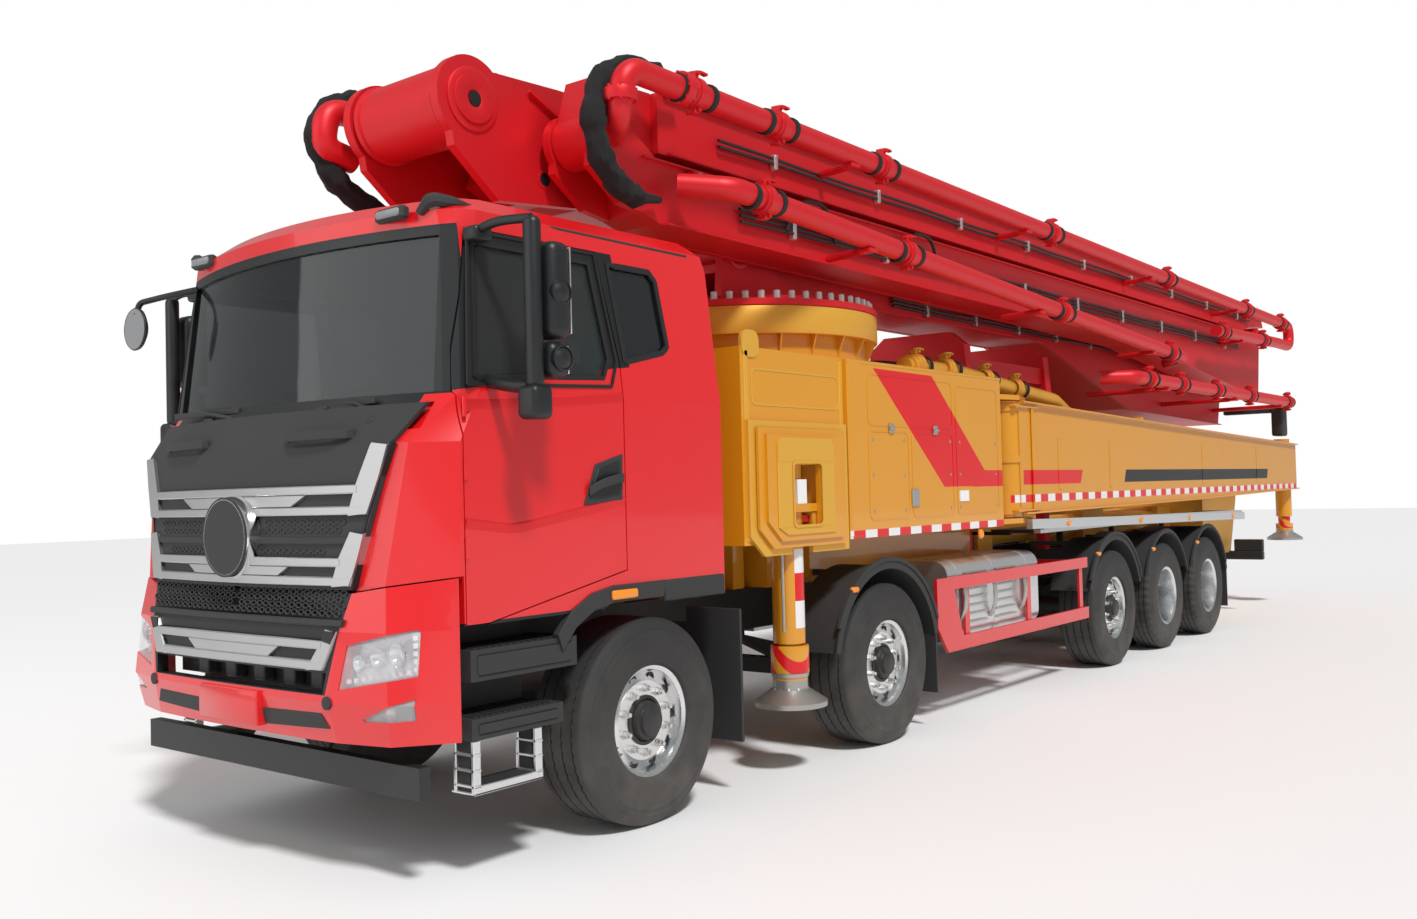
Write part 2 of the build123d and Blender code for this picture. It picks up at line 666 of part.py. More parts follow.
def build_cab():
    """Cab shell, glass, doors, interior and steps."""
    outer = cab_solid(0)
    shell = outer.cut(cab_solid(CAB_WALL))
    opening = common(prism_y(DOOR_OUTLINE, 900, 1400), side_band(0))
    windscreen = prism_x(WINDSCREEN, 1000, 1700)
    rear_glass_cut = prism_y(REAR_WINDOW, -1400, 1400)
    arch = arch_cut(-1400, -700).fuse(arch_cut(700, 1400))
    body = shell.cut(opening, mirror(opening, about=Plane.XZ), windscreen, rear_glass_cut, arch)
    liner = arch_liner()
    body = body.cut(parting(-SHUT_GAP))
    relief = common(outer.cut(cab_solid(RELIEF_DEPTH)), prism_x(PANEL_RELIEF, 1200, 1500))
    body = body.cut(relief, mirror(relief, about=Plane.XZ))

    pane = cab_solid(14).cut(cab_solid(14 + GLASS_THICKNESS))
    panes = [pane.intersect(prism_x(in_from(WINDSCREEN, -20), 1000, 1600)),
             pane.intersect(prism_y(in_from(REAR_WINDOW, -15), 900, 1400)),
             pane.intersect(prism_y(in_from(REAR_WINDOW, -15), -1400, -900))]
    panes = [solid for piece in panes for solid in piece.solids()]
    save("cab_glass", Compound(children=panes))
    body = body.fuse(liner).cut(*panes)
    save("cab_shell", body.solids().sort_by(SortBy.VOLUME)[-1])

    skin = common(shell, side_band(4))
    door = common(skin, prism_y(in_from(DOOR_OUTLINE, SHUT_GAP), 900, 1400))
    door = door.cut(prism_y(DOOR_WINDOW, 900, 1400), arch_cut(700, 1400))
    glass = pane.intersect(prism_y(in_from(DOOR_WINDOW, -15), 900, 1400)).solids()[0]
    door = door.solids().sort_by(SortBy.VOLUME)[-1].cut(glass)
    barrels = [round_z(DOOR_HINGE_X, DOOR_HINGE_Y, HINGE_BARREL, z, z + 90)
               for z in (1450, 1800, 2080)]
    door = fuse([door] + barrels)
    mirrors = build_mirror()
    for side, sign in SIDES:
        save(f"door_{side}", side_of(door, sign))
        save(f"door_glass_{side}", side_of(glass, sign))
        save(f"mirror_{side}", side_of(mirrors, sign))


def arch_liner():
    """Curved liner over the front wheels that closes the cab floor."""
    parts = []
    for y0, y1 in ((700, CAB_HALF_WIDTH - 1), (1 - CAB_HALF_WIDTH, -700)):
        parts.append(ring_part(0, WHEEL_RADIUS, ARCH_RADIUS, ARCH_RADIUS + 30, 58, 122, y0, y1))
    return fuse(parts)


DOOR_HINGE_X = DOOR_FRONT - SHUT_GAP - 6
DOOR_HINGE_Y = CAB_HALF_WIDTH + 2
MIRROR_Y = CAB_HALF_WIDTH + 295
MIRROR_X = 1090
HEAD_IN = MIRROR_Y - 90
HEAD_OUT = MIRROR_Y + 75


def build_mirror():
    """Door mirror: upper and lower arms, an upright, two heads and a camera box."""
    upright = block(MIRROR_X - 30, MIRROR_X + 30, MIRROR_Y - 40, MIRROR_Y + 40, 2180, 2950)
    upright = fillet(upright.edges().filter_by(Axis.Z), 22)
    arms = [prism_x([(CAB_ROOF_HALF_WIDTH, 2900), (MIRROR_Y, 2890), (MIRROR_Y, 2935),
                     (CAB_ROOF_HALF_WIDTH, 2945)], MIRROR_X - 30, MIRROR_X + 30),
            prism_x([(CAB_HALF_WIDTH - 45, 2210), (MIRROR_Y, 2150), (MIRROR_Y, 2240),
                     (CAB_HALF_WIDTH - 20, 2255)], MIRROR_X - 35, MIRROR_X + 35)]
    heads = [block(MIRROR_X - 165, MIRROR_X - 20, HEAD_IN, HEAD_OUT, 2420, 2850),
             block(MIRROR_X - 150, MIRROR_X - 20, HEAD_IN + 10, HEAD_OUT - 10, 2240, 2400),
             block(MIRROR_X - 60, MIRROR_X + 60, MIRROR_Y - 60, MIRROR_Y + 60, 2060, 2200)]
    heads = [fillet(head.edges(), 18) for head in heads]
    return fuse([upright] + arms + heads).cut(cab_solid(0))


def build_interior():
    """Seats, dashboard, wheel and tunnel on the cab floor."""
    floor = CAB_FLOOR + CAB_WALL
    pieces = []
    dash = prism_y([(1080, 1750), (1320, 1750), (1320, 2150), (1180, 2180), (1040, 2080)],
                   -1050, 1050)
    console = block(-300, 1080, -220, 220, floor, 1600)
    pieces += [dash, console, block(900, 1200, -200, 200, 1600, 1760)]
    for sign in (-1, 1):
        y = sign * 620
        pieces.append(block(-200, 330, y - 250, y + 250, 1560, 1720))
        pieces.append(prism_y([(-330, 1660), (-190, 1660), (-260, 2480), (-370, 2480)],
                              y - 240, y + 240))
        pieces.append(block(-330, 250, y - 200, y + 200, floor + 80, 1560))
        pieces.append(block(-330, 250, sign * 220, y, floor + 85, 1400))
    wheel_plane = Plane(origin=(870, 620, 2060), z_dir=(-0.85, 0, 0.53))
    pieces.append(Solid.make_torus(215, 18, wheel_plane))
    pieces.append(Solid.make_cylinder(50, 340, Plane(origin=(870, 620, 2060),
                                                      z_dir=(0.85, 0, -0.53))))
    spoke = wheel_plane * Box(40, 430, 20)
    pieces.append(spoke)
    save("cab_interior", fuse(pieces).intersect(cab_solid(CAB_WALL)))


def build_steps():
    """Black step boxes with a folding foot step under each door."""
    outer = CAB_HALF_WIDTH - 10
    inner = outer - 305
    treads = [block(560, 1225, inner, outer, 900, 1040), block(660, 1225, inner, outer, 640, 735)]
    back = block(700, 1225, inner, inner + 60, 640, 1145)
    hooks = [block(x - 25, x + 25, RAIL_OUTER_Y, inner + 10, 960, 1020) for x in (760, 1150)]
    hangers = [block(x - 15, x + 15, outer - 115, outer - 35, 405, 640) for x in (825, 1195)]
    foot = block(810, 1210, outer - 155, outer - 15, 405, 435)
    save("cab_steps", both_sides(fuse(treads + [back] + hooks + hangers + [foot])))


def build_front():
    """Bumper with its mouth, plate and inserts, and the lamps."""
    skin = bumper_solid(0).cut(bumper_solid(55, 5))
    skin = common(skin, parting(0)).cut(block(0, 1292, -1400, 1400, 0, 2000))
    mouth = prism_x([(-720, 866), (720, 866), (735, 960), (-735, 960)], 1000, 1800)
    lamp_left = prism_x(HEADLAMP, 1290, 1800)
    fog_left = prism_x(FOG_LAMP, 1290, 1800)
    lamps = lamp_left.fuse(fog_left)
    lamps = lamps.fuse(mirror(lamps, about=Plane.XZ))
    grille = prism_x([(-850, BUMPER_TOP - 5), (-830, 1180), (830, 1180), (850, BUMPER_TOP - 5),
                      (850, 1500), (-850, 1500)], 1590, 1800)
    brackets = [block(RAIL_FRONT, 1590, sign * 400 - 40, sign * 400 + 40, 980, 1050)
                for sign in (-1, 1)]
    bumper = skin.cut(mouth, lamps, grille)
    keep = bumper.solids().sort_by(SortBy.VOLUME)[-1]
    trim = frame_trim(TRIM_LOW, [(z, BUMPER_FRONT - 26 + TRIM_PROUD, BUMPER_FRONT - 50,
                                  1612 + TRIM_PROUD, 1580, 850) for z in (900, 1200)])
    plate = block(BUMPER_FRONT - 60, BUMPER_FRONT + 14, -255, 255, 688, 848)
    save("front_bumper", fuse([keep, trim, plate] + brackets))

    lens = bumper_solid(6).cut(bumper_solid(50, 5))
    save("front_lamps", Compound(children=list(lens.intersect(lamps).solids())))


def underrun_bar():
    """Front underrun beam on two drop brackets from the rail ends."""
    beam = block(UNDERRUN_FRONT - 60, UNDERRUN_FRONT, -UNDERRUN_HALF_WIDTH, UNDERRUN_HALF_WIDTH,
                 411, 556)
    drops = [prism_y([(RAIL_FRONT - 160, RAIL_BOTTOM + 20), (RAIL_FRONT, RAIL_BOTTOM + 20),
                      (UNDERRUN_FRONT - 60, 540), (UNDERRUN_FRONT - 60, 430)],
                     sign * 400 - 12, sign * 400 + 12) for sign in (-1, 1)]
    return fuse([beam] + drops)


# Headlamp and fog lamp outlines (y, z) on the bumper
HEADLAMP = [(853, 1085), (1140, 1152), (1150, 1140), (1150, 950), (812, 890)]
FOG_LAMP = [(935, 766), (1148, 856), (1143, 760), (948, 756)]
GRILLE_LOW = 1325
GRILLE_HIGH = 2150
PANEL_HINGE_X = CAB_FRONT_BELT + 14
PANEL_HINGE_Z = GRILLE_HIGH + 3
TRIM_PROUD = 14
# Panel sections: z, outer x, inner x, outer x at the edge, inner x at the edge, edge y
PANEL_SECTIONS = (
    (GRILLE_LOW, CAB_FRONT + 30, CAB_FRONT + 2, 1567, 1539, CAB_HALF_WIDTH - 397),
    (1970, CAB_FRONT - 17, CAB_FRONT - 45, 1493, 1467, CAB_HALF_WIDTH - 198),
    (GRILLE_HIGH, CAB_FRONT - 98, CAB_FRONT - 120, 1344, 1322, CAB_HALF_WIDTH - 128),
)
# Silver trims: z of the foot and the upper bar, half widths at the foot, the bar and the
# tip of the end wedge, z of the tip, wedge width, half width of the middle bar above and below
TRIM_HIGH = (1655, 1793, 935, 873, 1045, 1968, 95, 530, 437)
TRIM_MIDDLE = (1340, 1468, 850, 785, 925, 1576, 82, 430, 365)
TRIM_LOW = (971, 1105, 722, 711, 801, 1146, 70, 390, 320)
TRIM_BAR = 40


def frame_trim(sizes, sections):
    """Trim cut from a bowed slab: two bars, a middle trapezoid and an upturned wedge each end."""
    foot, bar, foot_half, bar_half, tip_half, tip, wedge, middle_high, middle_low = sizes
    outline = [(-foot_half, foot), (foot_half, foot), (tip_half, tip), (tip_half - wedge, tip),
               (bar_half, bar), (-bar_half, bar), (wedge - tip_half, tip), (-tip_half, tip)]
    high = bar - TRIM_BAR
    low = foot + TRIM_BAR
    slot = [(middle_high, high), (bar_half - 25, high), (foot_half - 90, low),
            (middle_low, low)]
    shape = prism_x(outline, 1300, 1800)
    slot = prism_x(slot, 1300, 1800)
    slab = curved_slab(sections)
    return common(slab, shape).cut(slot, mirror(slot, about=Plane.XZ))


def build_grille():
    """Front panel under the windscreen with its silver trims and roundel."""
    panel = curved_slab(PANEL_SECTIONS)
    proud = [(z, outer + TRIM_PROUD, outer - 6, edge + TRIM_PROUD, edge - 6, half + 8)
             for z, outer, _, edge, _, half in PANEL_SECTIONS]
    trims = [frame_trim(sizes, proud) for sizes in (TRIM_HIGH, TRIM_MIDDLE)]
    roundel = round_x(0, 1560, 190, CAB_FRONT + 5, ROUNDEL_FRONT)
    barrels = [round_y(PANEL_HINGE_X, PANEL_HINGE_Z, HINGE_BARREL, y - 40, y + 40)
               for y in (-500, 500)]
    save("front_panel", fuse([panel] + trims + [roundel] + barrels))


# ---------------------------------------------------------------- bodywork
def build_body():
    """Pedestal with the front outrigger box, cabinets, boom rest, pipe, pump and hopper."""
    half = BODY_HALF_WIDTH
    lane = FRONT_STAGE_WIDTH / 2 + STAGE_CLEARANCE
    low = FRONT_BEAM_BOTTOM - STAGE_CLEARANCE
    high = FRONT_BEAM_BOTTOM + FRONT_BEAM_HEIGHT + STAGE_CLEARANCE
    box = block(BOX_REAR, BOX_FRONT, -half + 30, half - 30, BOX_BOTTOM, BOX_TOP)
    leg_gap = LEG_RADIUS + 15
    for sign in (-1, 1):
        box = box.cut(block(FRONT_LEG_X - lane, FRONT_LEG_X + lane, sign * 20, sign * (half + 10),
                            low, high))
        box = box.cut(block(FRONT_LEG_X - leg_gap, FRONT_LEG_X + leg_gap,
                            sign * (FRONT_LEG_Y - leg_gap), sign * (half + 10),
                            BOX_BOTTOM - 10, high + 140))
    wide = PEDESTAL_HALF_WIDTH
    saddle = block(-4500, BOX_REAR, -wide, wide, CABINET_BOTTOM, CABINET_TOP + 15)
    stem = block(-4500, BOX_REAR, -570, 570, RAIL_TOP, CABINET_BOTTOM)
    arch_arms = [block(AXLE_2_X - 60, AXLE_2_X + 60, sign * 560, sign * wide, 1100, CABINET_BOTTOM)
                 for sign in (-1, 1)]
    drum = round_z(SLEW_X, 0, RING_RADIUS - 80, CABINET_TOP + 10, RING_TOP - 140)
    flange = round_z(SLEW_X, 0, RING_RADIUS - 10, RING_TOP - 140, RING_TOP - 50)
    feet = [block(x - 60, x + 60, -RAIL_OUTER_Y, RAIL_OUTER_Y, RAIL_TOP, BOX_BOTTOM + 5)
            for x in (-1050, -1800)]
    rear_box = block(-4960, -4230, -830, 830, 1460, 2380)
    hinge_plates = []
    for z in (1400, 2400):
        for sign in (-1, 1):
            plan = [(-4960, 700), (-4960, REAR_HINGE_Y + 40), (REAR_HINGE_X, REAR_HINGE_Y + 150),
                    (-4300, REAR_HINGE_Y + 100), (-4230, 700)]
            hinge_plates.append(side_of(prism_z(plan, z, z + 40), sign))
            if z < 2000:
                hinge_plates.append(side_of(prism_z([(-4960, 700), (-4960, 830), (-4230, 830),
                                                     (-4230, 700)], 1430, 1470), sign))
            else:
                hinge_plates.append(side_of(prism_z([(-4960, 700), (-4960, 830), (-4230, 830),
                                                     (-4230, 700)], 2370, 2410), sign))
    neck = block(-4960, -4400, -570, 570, RAIL_TOP, 1470)
    save("pedestal", fuse([box, saddle, stem, drum, flange, rear_box, neck] + arch_arms + feet
                          + hinge_plates))

    cabinet = block(CABINET_REAR, BOX_REAR, PEDESTAL_HALF_WIDTH, half, CABINET_BOTTOM, CABINET_TOP)
    save("side_cabinets", both_sides(cabinet))

    build_boom_rest()
    build_base_pipe()
    build_pump()


def build_boom_rest():
    """Red cradle that carries the folded boom behind the pedestal."""
    top = 3095
    posts = [prism_x([(-560, 2000), (560, 2000), (480, top - 120), (330, top), (-330, top),
                      (-480, top - 120)], x - 60, x + 60) for x in (-5200, -6900)]
    ties = [block(-6900, -5200, sign * 430 - 30, sign * 430 + 30, 2700, 2860) for sign in (-1, 1)]
    legs = [block(x - 60, x + 60, sign * 400 - 45, sign * 400 + 45, RAIL_TOP, 2100)
            for x in (-5200, -6900) for sign in (-1, 1)]
    save("boom_rest", fuse(posts + ties + legs))


def build_base_pipe():
    """Yellow delivery pipe from the hopper to the turret over the left cabinet."""
    y = 760
    z = CABINET_TOP + 100
    run = tube_along([(-10750, 500, 1700), (-8200, 500, 2100), (-6400, y, 2500), (-4400, y, z),
                      (-3560, y, z)], [500, 700, 700], PIPE_RADIUS)
    collars = [round_x(y, z, 92, x - 45, x + 45) for x in (-4200, -3650)]
    rest = [block(-4150, -4050, y - 40, y + 40, CABINET_TOP, z - 30)]
    save("base_pipe", fuse([run] + collars + rest))


def build_pump():
    """Twin-cylinder pump, water box and receiving hopper at the rear."""
    pieces = []
    for sign in (-1, 1):
        pieces.append(round_x(sign * 170, 1260, 120, -10600, -5900))
    pieces.append(block(-8700, -8100, -330, 330, RAIL_TOP, 1420))
    pieces.append(block(-5900, -5600, -330, 330, RAIL_TOP, 1420))
    hopper = prism_y([(-10920, 900), (-10920, 1600), (-12350, 1600), (-12350, 1450),
                      (-12050, 760), (-11080, 760)], -740, 740)
    inside = prism_y([(-10980, 930), (-10980, 1601), (-12290, 1601), (-12290, 1460),
                      (-12010, 820), (-11110, 820)], -680, 680)
    hopper = hopper.cut(inside)
    grate = [block(x - 12, x + 12, -680, 680, 1520, 1570) for x in range(-12220, -11000, 130)]
    neck = block(-10960, -10480, -340, 340, 1070, 1400)
    pieces += [hopper, neck] + grate
    save("pump_unit", fuse(pieces))


# ---------------------------------------------------------------- outriggers
def foot(x, y, bottom, stroke_top):
    """Jack rod, collar and round foot plate."""
    rod = round_z(x, y, LEG_RADIUS - 24, bottom + 40, stroke_top)
    collar = round_z(x, y, LEG_RADIUS + 8, bottom + 100, bottom + 220)
    dish = Solid.make_cone(FOOT_RADIUS, 120, 70, Plane(origin=(x, y, bottom + 30)))
    plate = round_z(x, y, FOOT_RADIUS, bottom, bottom + 30)
    return fuse([rod, collar, dish, plate])


def build_outriggers():
    """Front telescopic outriggers and rear swinging outriggers with their feet."""
    for side, sign in SIDES:
        build_front_outrigger(side, sign)
        build_rear_outrigger(side, sign)


def end_plate(order, y0, y1):
    """Flange at the outer end of a telescopic stage; the later ones are smaller."""
    x = FRONT_LEG_X
    less_x = 62 * order
    less_z = 42 * order
    return prism_y([(x - 530 + less_x, 1330 + less_z), (x + 390 - less_x, 1330 + less_z),
                    (x + 530 - less_x, 1450 + less_z), (x + 530 - less_x, 2130 - less_z),
                    (x - 530 + less_x, 2130 - less_z)], y0, y1)


def build_front_outrigger(side, sign):
    """Hollow stage in the box, inner beam with leg housing in the stage, and foot."""
    x = FRONT_LEG_X
    half = FRONT_STAGE_WIDTH / 2
    low = FRONT_BEAM_BOTTOM
    high = FRONT_BEAM_BOTTOM + FRONT_BEAM_HEIGHT
    flange_y = BODY_HALF_WIDTH - 25
    gap = LEG_RADIUS + 12
    leg_slot = block(x - gap, x + gap, FRONT_LEG_Y - gap, flange_y + 30, 1300, high + 130)
    wall = STAGE_WALL
    stage = block(x - half, x + half, 30, flange_y, low, high)
    stage = stage.fuse(end_plate(0, flange_y, flange_y + 20))
    inner_half = half - wall - STAGE_CLEARANCE
    reach = wall + STAGE_CLEARANCE
    bore = block(x - half + wall, x + half - wall, 20, flange_y + 30, low + wall, high - wall)
    stage = stage.cut(bore, leg_slot)
    save(f"front_stage_{side}", side_of(stage, sign))

    beam = block(x - inner_half, x + inner_half, 50, FRONT_LEG_Y, low + reach, high - reach)
    housing = round_z(x, FRONT_LEG_Y, LEG_RADIUS, 780, high + 120)
    leg_bore = round_z(x, FRONT_LEG_Y, LEG_RADIUS - 20, 770, high + 90)
    plates = [end_plate(1, flange_y + 26, flange_y + 44), end_plate(2, flange_y + 44, flange_y + 62)]
    window = block(x - 150, x + 150, FRONT_LEG_Y, flange_y + 80, 1500, 1880)
    webs = [block(x - 150, x + 150, FRONT_LEG_Y, flange_y + 30, z, z + 50)
            for z in (low + reach, high - reach - 50)]
    body = fuse([beam, housing] + webs + [plate.cut(window) for plate in plates]).cut(leg_bore)
    jack = foot(x, FRONT_LEG_Y, FRONT_FOOT_BOTTOM, high + 60)
    save(f"front_outrigger_{side}", side_of(body, sign))
    save(f"front_foot_{side}", side_of(jack, sign))


def build_rear_outrigger(side, sign):
    """Long tapered box beam folded back along the truck, hinged at its front."""
    y0 = REAR_HINGE_Y - REAR_BEAM_WIDTH / 2
    y1 = REAR_HINGE_Y + REAR_BEAM_WIDTH / 2
    beam = prism_y([(REAR_HINGE_X, 1475), (REAR_HINGE_X, 2385), (-9000, 2270),
                    (REAR_BEAM_END, 2160), (REAR_BEAM_END, 1560), (-9000, 1500)], y0, y1)
    pin = round_z(REAR_HINGE_X, REAR_HINGE_Y, 130, 1450, 2395)
    housing = round_z(REAR_LEG_X, REAR_HINGE_Y, LEG_RADIUS, 1180, 2240)
    bore = round_z(REAR_LEG_X, REAR_HINGE_Y, LEG_RADIUS - 20, 1170, 2210)
    body = fuse([beam, pin, housing]).cut(bore)
    jack = foot(REAR_LEG_X, REAR_HINGE_Y, REAR_FOOT_BOTTOM, 2180)
    save(f"rear_outrigger_{side}", side_of(body, sign))
    save(f"rear_foot_{side}", side_of(jack, sign))


# ---------------------------------------------------------------- boom
def cut_across(shape, places):
    """The shape cut apart at each x, into solids that are each nearly convex."""
    bounds = [-20000, *sorted(places), 20000]
    solids = []
    for low, high in zip(bounds, bounds[1:]):
        solids += common(shape, block(low, high, -3000, 3000, 0, 6000)).solids()
    return Compound(children=solids)


def clevis(pin, radius, inner, outer, root):
    """Pair of cheek plates about a cross pin, joined to a root outline (x, z)."""
    plates = []
    for y0, y1 in ((inner, outer), (-outer, -inner)):
        plates.append(prism_y(root, y0, y1).fuse(round_y(*pin, radius, y0, y1)))
    return plates


def build_turret():
    """Slewing ring with its bolts, king post and the cheeks of the first pin."""
    ring = round_z(SLEW_X, 0, RING_RADIUS, RING_TOP - 45, RING_TOP)
    deck = round_z(SLEW_X, 0, RING_RADIUS - 130, RING_TOP, RING_TOP + 40)
    cheeks = clevis(PIN_1, 190, CENTRE_HALF_WIDTH + LANE_GAP, CENTRE_HALF_WIDTH + LANE_GAP + 60,
                    [(-3080, RING_TOP), (-1800, RING_TOP), (-1830, PIN_1[1]),
                     (-2100, PIN_1[1] + 150), (-2600, 3200)])
    pin = round_y(*PIN_1, PIN_RADIUS, -CENTRE_HALF_WIDTH - 80, CENTRE_HALF_WIDTH + 80)
    save("turret", fuse([ring, deck, pin] + cheeks))





def build_boom():
    """Turret and the five folding arms with their delivery pipes."""
    build_turret()
    half = CENTRE_HALF_WIDTH
    pin_x, pin_z = PIN_1
    first = prism_y([(pin_x + 60, 3250), (pin_x + 60, 3470), (-2500, 3470), (-13400, 3440),
                     (-13560, 3300), (-13300, 2480), (-9600, 2570), (-7200, 3165),
                     (-2400, 3165)], -half, half)
    boss = round_y(*PIN_1, 100, -half, half)
    hole = round_y(*PIN_1, PIN_RADIUS + 2, -half - 5, half + 5)
    cheeks = clevis(PIN_2, 190, 170, 235, [(-13400, 3440), (-13700, 3560), (-13980, 3480),
                                           (-13900, 3200), (-13560, 2900), (-13400, 2900)])
    slot = block(REAR_CLEAR, PIN_2[0] + 230, -170, 170, 2000, 3800)
    pin_2 = round_y(*PIN_2, PIN_RADIUS, -235, 235)
    first = first.cut(slot)
    save("arm_1", cut_across(fuse([first, boss, pin_2] + cheeks).cut(hole),
                             [-13400, -9600, -7200]))

    tongue = prism_y([(PIN_2[0], 3260), (PIN_2[0] - 100, 3400), (-13700, 3560), (-13500, 3780),
                      (-13200, 3780), (-13200, 3500), (-13560, 3480), (-13700, 3300)], -160, 160)
    root = round_y(*PIN_2, 150, -160, 160)
    hole = round_y(*PIN_2, PIN_RADIUS + 2, -400, 400)
    second = prism_y([(-13200, 3500), (-13200, 3780), (-200, 3790), (-100, 3600), (-500, 3440),
                      (-1500, 3500)], -half, half)
    cheeks = clevis(PIN_3, 240, 350, 410, [(-1000, 3480), (-700, 3800), (250, 4060), (620, 3960),
                                           (560, 3600), (250, 3350), (-300, 3400)])
    bridge = block(-700, -260, -350, 350, 3480, 3780)
    pin_3 = round_y(*PIN_3, PIN_RADIUS, -410, 410)
    save("arm_2", cut_across(fuse([tongue, root, second, bridge, pin_3] + cheeks).cut(hole),
                             [-13200, -1000, -200]))

    barrel = round_y(*PIN_3, 215, -338, 338)
    neck = prism_y([(PIN_3[0] - 150, 3800), (PIN_3[0], 4080), (-300, 4110), (-500, 4110),
                    (-500, 3830), (-200, 3830)], -338, 338)
    hole = round_y(*PIN_3, PIN_RADIUS + 2, -400, 400)
    third = prism_y([(-500, 3830), (-500, 4110), (-13300, 4040), (-13300, 3850)], -half, half)
    tail = prism_y([(-13300, 3850), (-13300, 4040), (-13600, 3860), (-13600, 3660),
                    (-13380, 3640)], 175, half)
    shaft = round_y(*PIN_4, PIN_RADIUS, 175, SIDE_LANE_OUTER)
    hub = round_y(*PIN_4, 120, 175, half + 100)
    save("arm_3", cut_across(fuse([barrel, neck, third, tail, hub, shaft]).cut(hole),
                             [-13300, -500]))

    lane = (SIDE_LANE_INNER, SIDE_LANE_OUTER)
    fourth = prism_y([(PIN_4[0] + 60, 2860), (PIN_4[0] - 60, 3600), (PIN_4[0], 3690),
                      (-12900, 3670), (-450, 3670), (-310, 3400), (-650, 3300), (-5650, 3260),
                      (-8700, 3220), (-12600, 2880)], *lane)
    root = round_y(*PIN_4, 120, *lane)
    hole = round_y(*PIN_4, PIN_RADIUS + 2, 400, 900)
    cheek_root = [(-650, 3320), (-650, 3670), (-310, 3880), (-80, 3840), (-70, 3540), (-310, 3370)]
    cheeks = []
    for y0, y1 in ((lane[0], lane[0] + 50), (lane[1] - 50, lane[1])):
        cheeks.append(prism_y(cheek_root, y0, y1).fuse(round_y(*PIN_5, 170, y0, y1)))
    slot = block(-510, 250, lane[0] + 50, lane[1] - 50, 3200, 4200)
    pin_5 = round_y(*PIN_5, PIN_RADIUS, *lane)
    save("arm_4", cut_across(fuse([fourth, root] + cheeks).cut(hole, slot).fuse(pin_5),
                             [-12900, -510]))

    tongue_y = (lane[0] + 50 + LANE_GAP / 2, lane[1] - 50 - LANE_GAP / 2)
    root = round_y(*PIN_5, 150, *tongue_y)
    neck = prism_y([(-310, 3620), (-80, 3780), (-170, 4070), (-650, 4085), (-650, 3750)], *tongue_y)
    hole = round_y(*PIN_5, PIN_RADIUS + 2, 400, 900)
    fifth = prism_y([(-650, 3720), (-650, 4080), (-13700, 3960), (-13780, 3835), (-13250, 3830),
                     (-12700, 3700)], *lane)
    save("arm_5", cut_across(fuse([root, neck, fifth]).cut(hole), [-12700, -650]))
    build_pipes()


def build_pipes():
    """Delivery pipe of each arm."""
    y = PIPE_Y
    pin_x, pin_z = PIN_5
    # arm: points of the pipe and its bend radii
    runs = {
        "pipe_1": ([(-7300, 870, 2760), (-7500, y + 60, 2760), (-13640, y + 60, 2750)], [150]),
        "pipe_2": ([(-13000, -480, 3640), (-12600, -480, 3640), (-700, -480, 3640)], None),
        "pipe_3": ([(0, -480, 3970), (-13000, -480, 3950)], None),
        "pipe_4": ([(-700, 900, 3520), (-900, y + 60, 3490), (-9000, y + 60, 3060),
                    (-9300, 900, 3045)], [160, 160]),
        "pipe_5": ([(pin_x, 870, pin_z), (pin_x + 160, 1040, pin_z + 20),
                    (pin_x + 160, y, 4005), (-13600, y, 3850), (-13920, y, 3840),
                    (-13920, y, 3560), *TIP_RUN],
                   [100, 110, 100, 130, 130, 200]),
    }
    for name, (points, radii) in runs.items():
        if radii is None:
            start, end = Vector(*points[0]), Vector(*points[-1])
            pipe = Solid.make_cylinder(PIPE_RADIUS, (end - start).length,
                                       Plane(origin=start, z_dir=end - start))
        else:
            radii = radii if len(radii) == len(points) - 2 else [120] * (len(points) - 2)
            pipe = tube_along(points, radii, PIPE_RADIUS)
        save(name, pipe)


def build():
    """Write every node."""
    build_running_gear()
    build_chassis()
    build_cab()
    build_interior()
    build_steps()
    build_front()
    build_grille()
    build_body()
    build_outriggers()
    build_boom()


build()
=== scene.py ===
"""Looks of a five-axle concrete pump truck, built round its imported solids.

Axes: +X forward, +Y to the vehicle's left, +Z up, metres. Sizes measured along the vehicle
are given from the front axle and moved into place by AXLE_X.
"""
import json
import logging
from dataclasses import dataclass, field
from enum import Enum
from math import cos, pi, radians, sin
from typing import Any, Callable, Sequence

import bmesh
import bpy
import numpy as np
from mathutils import Matrix, Vector

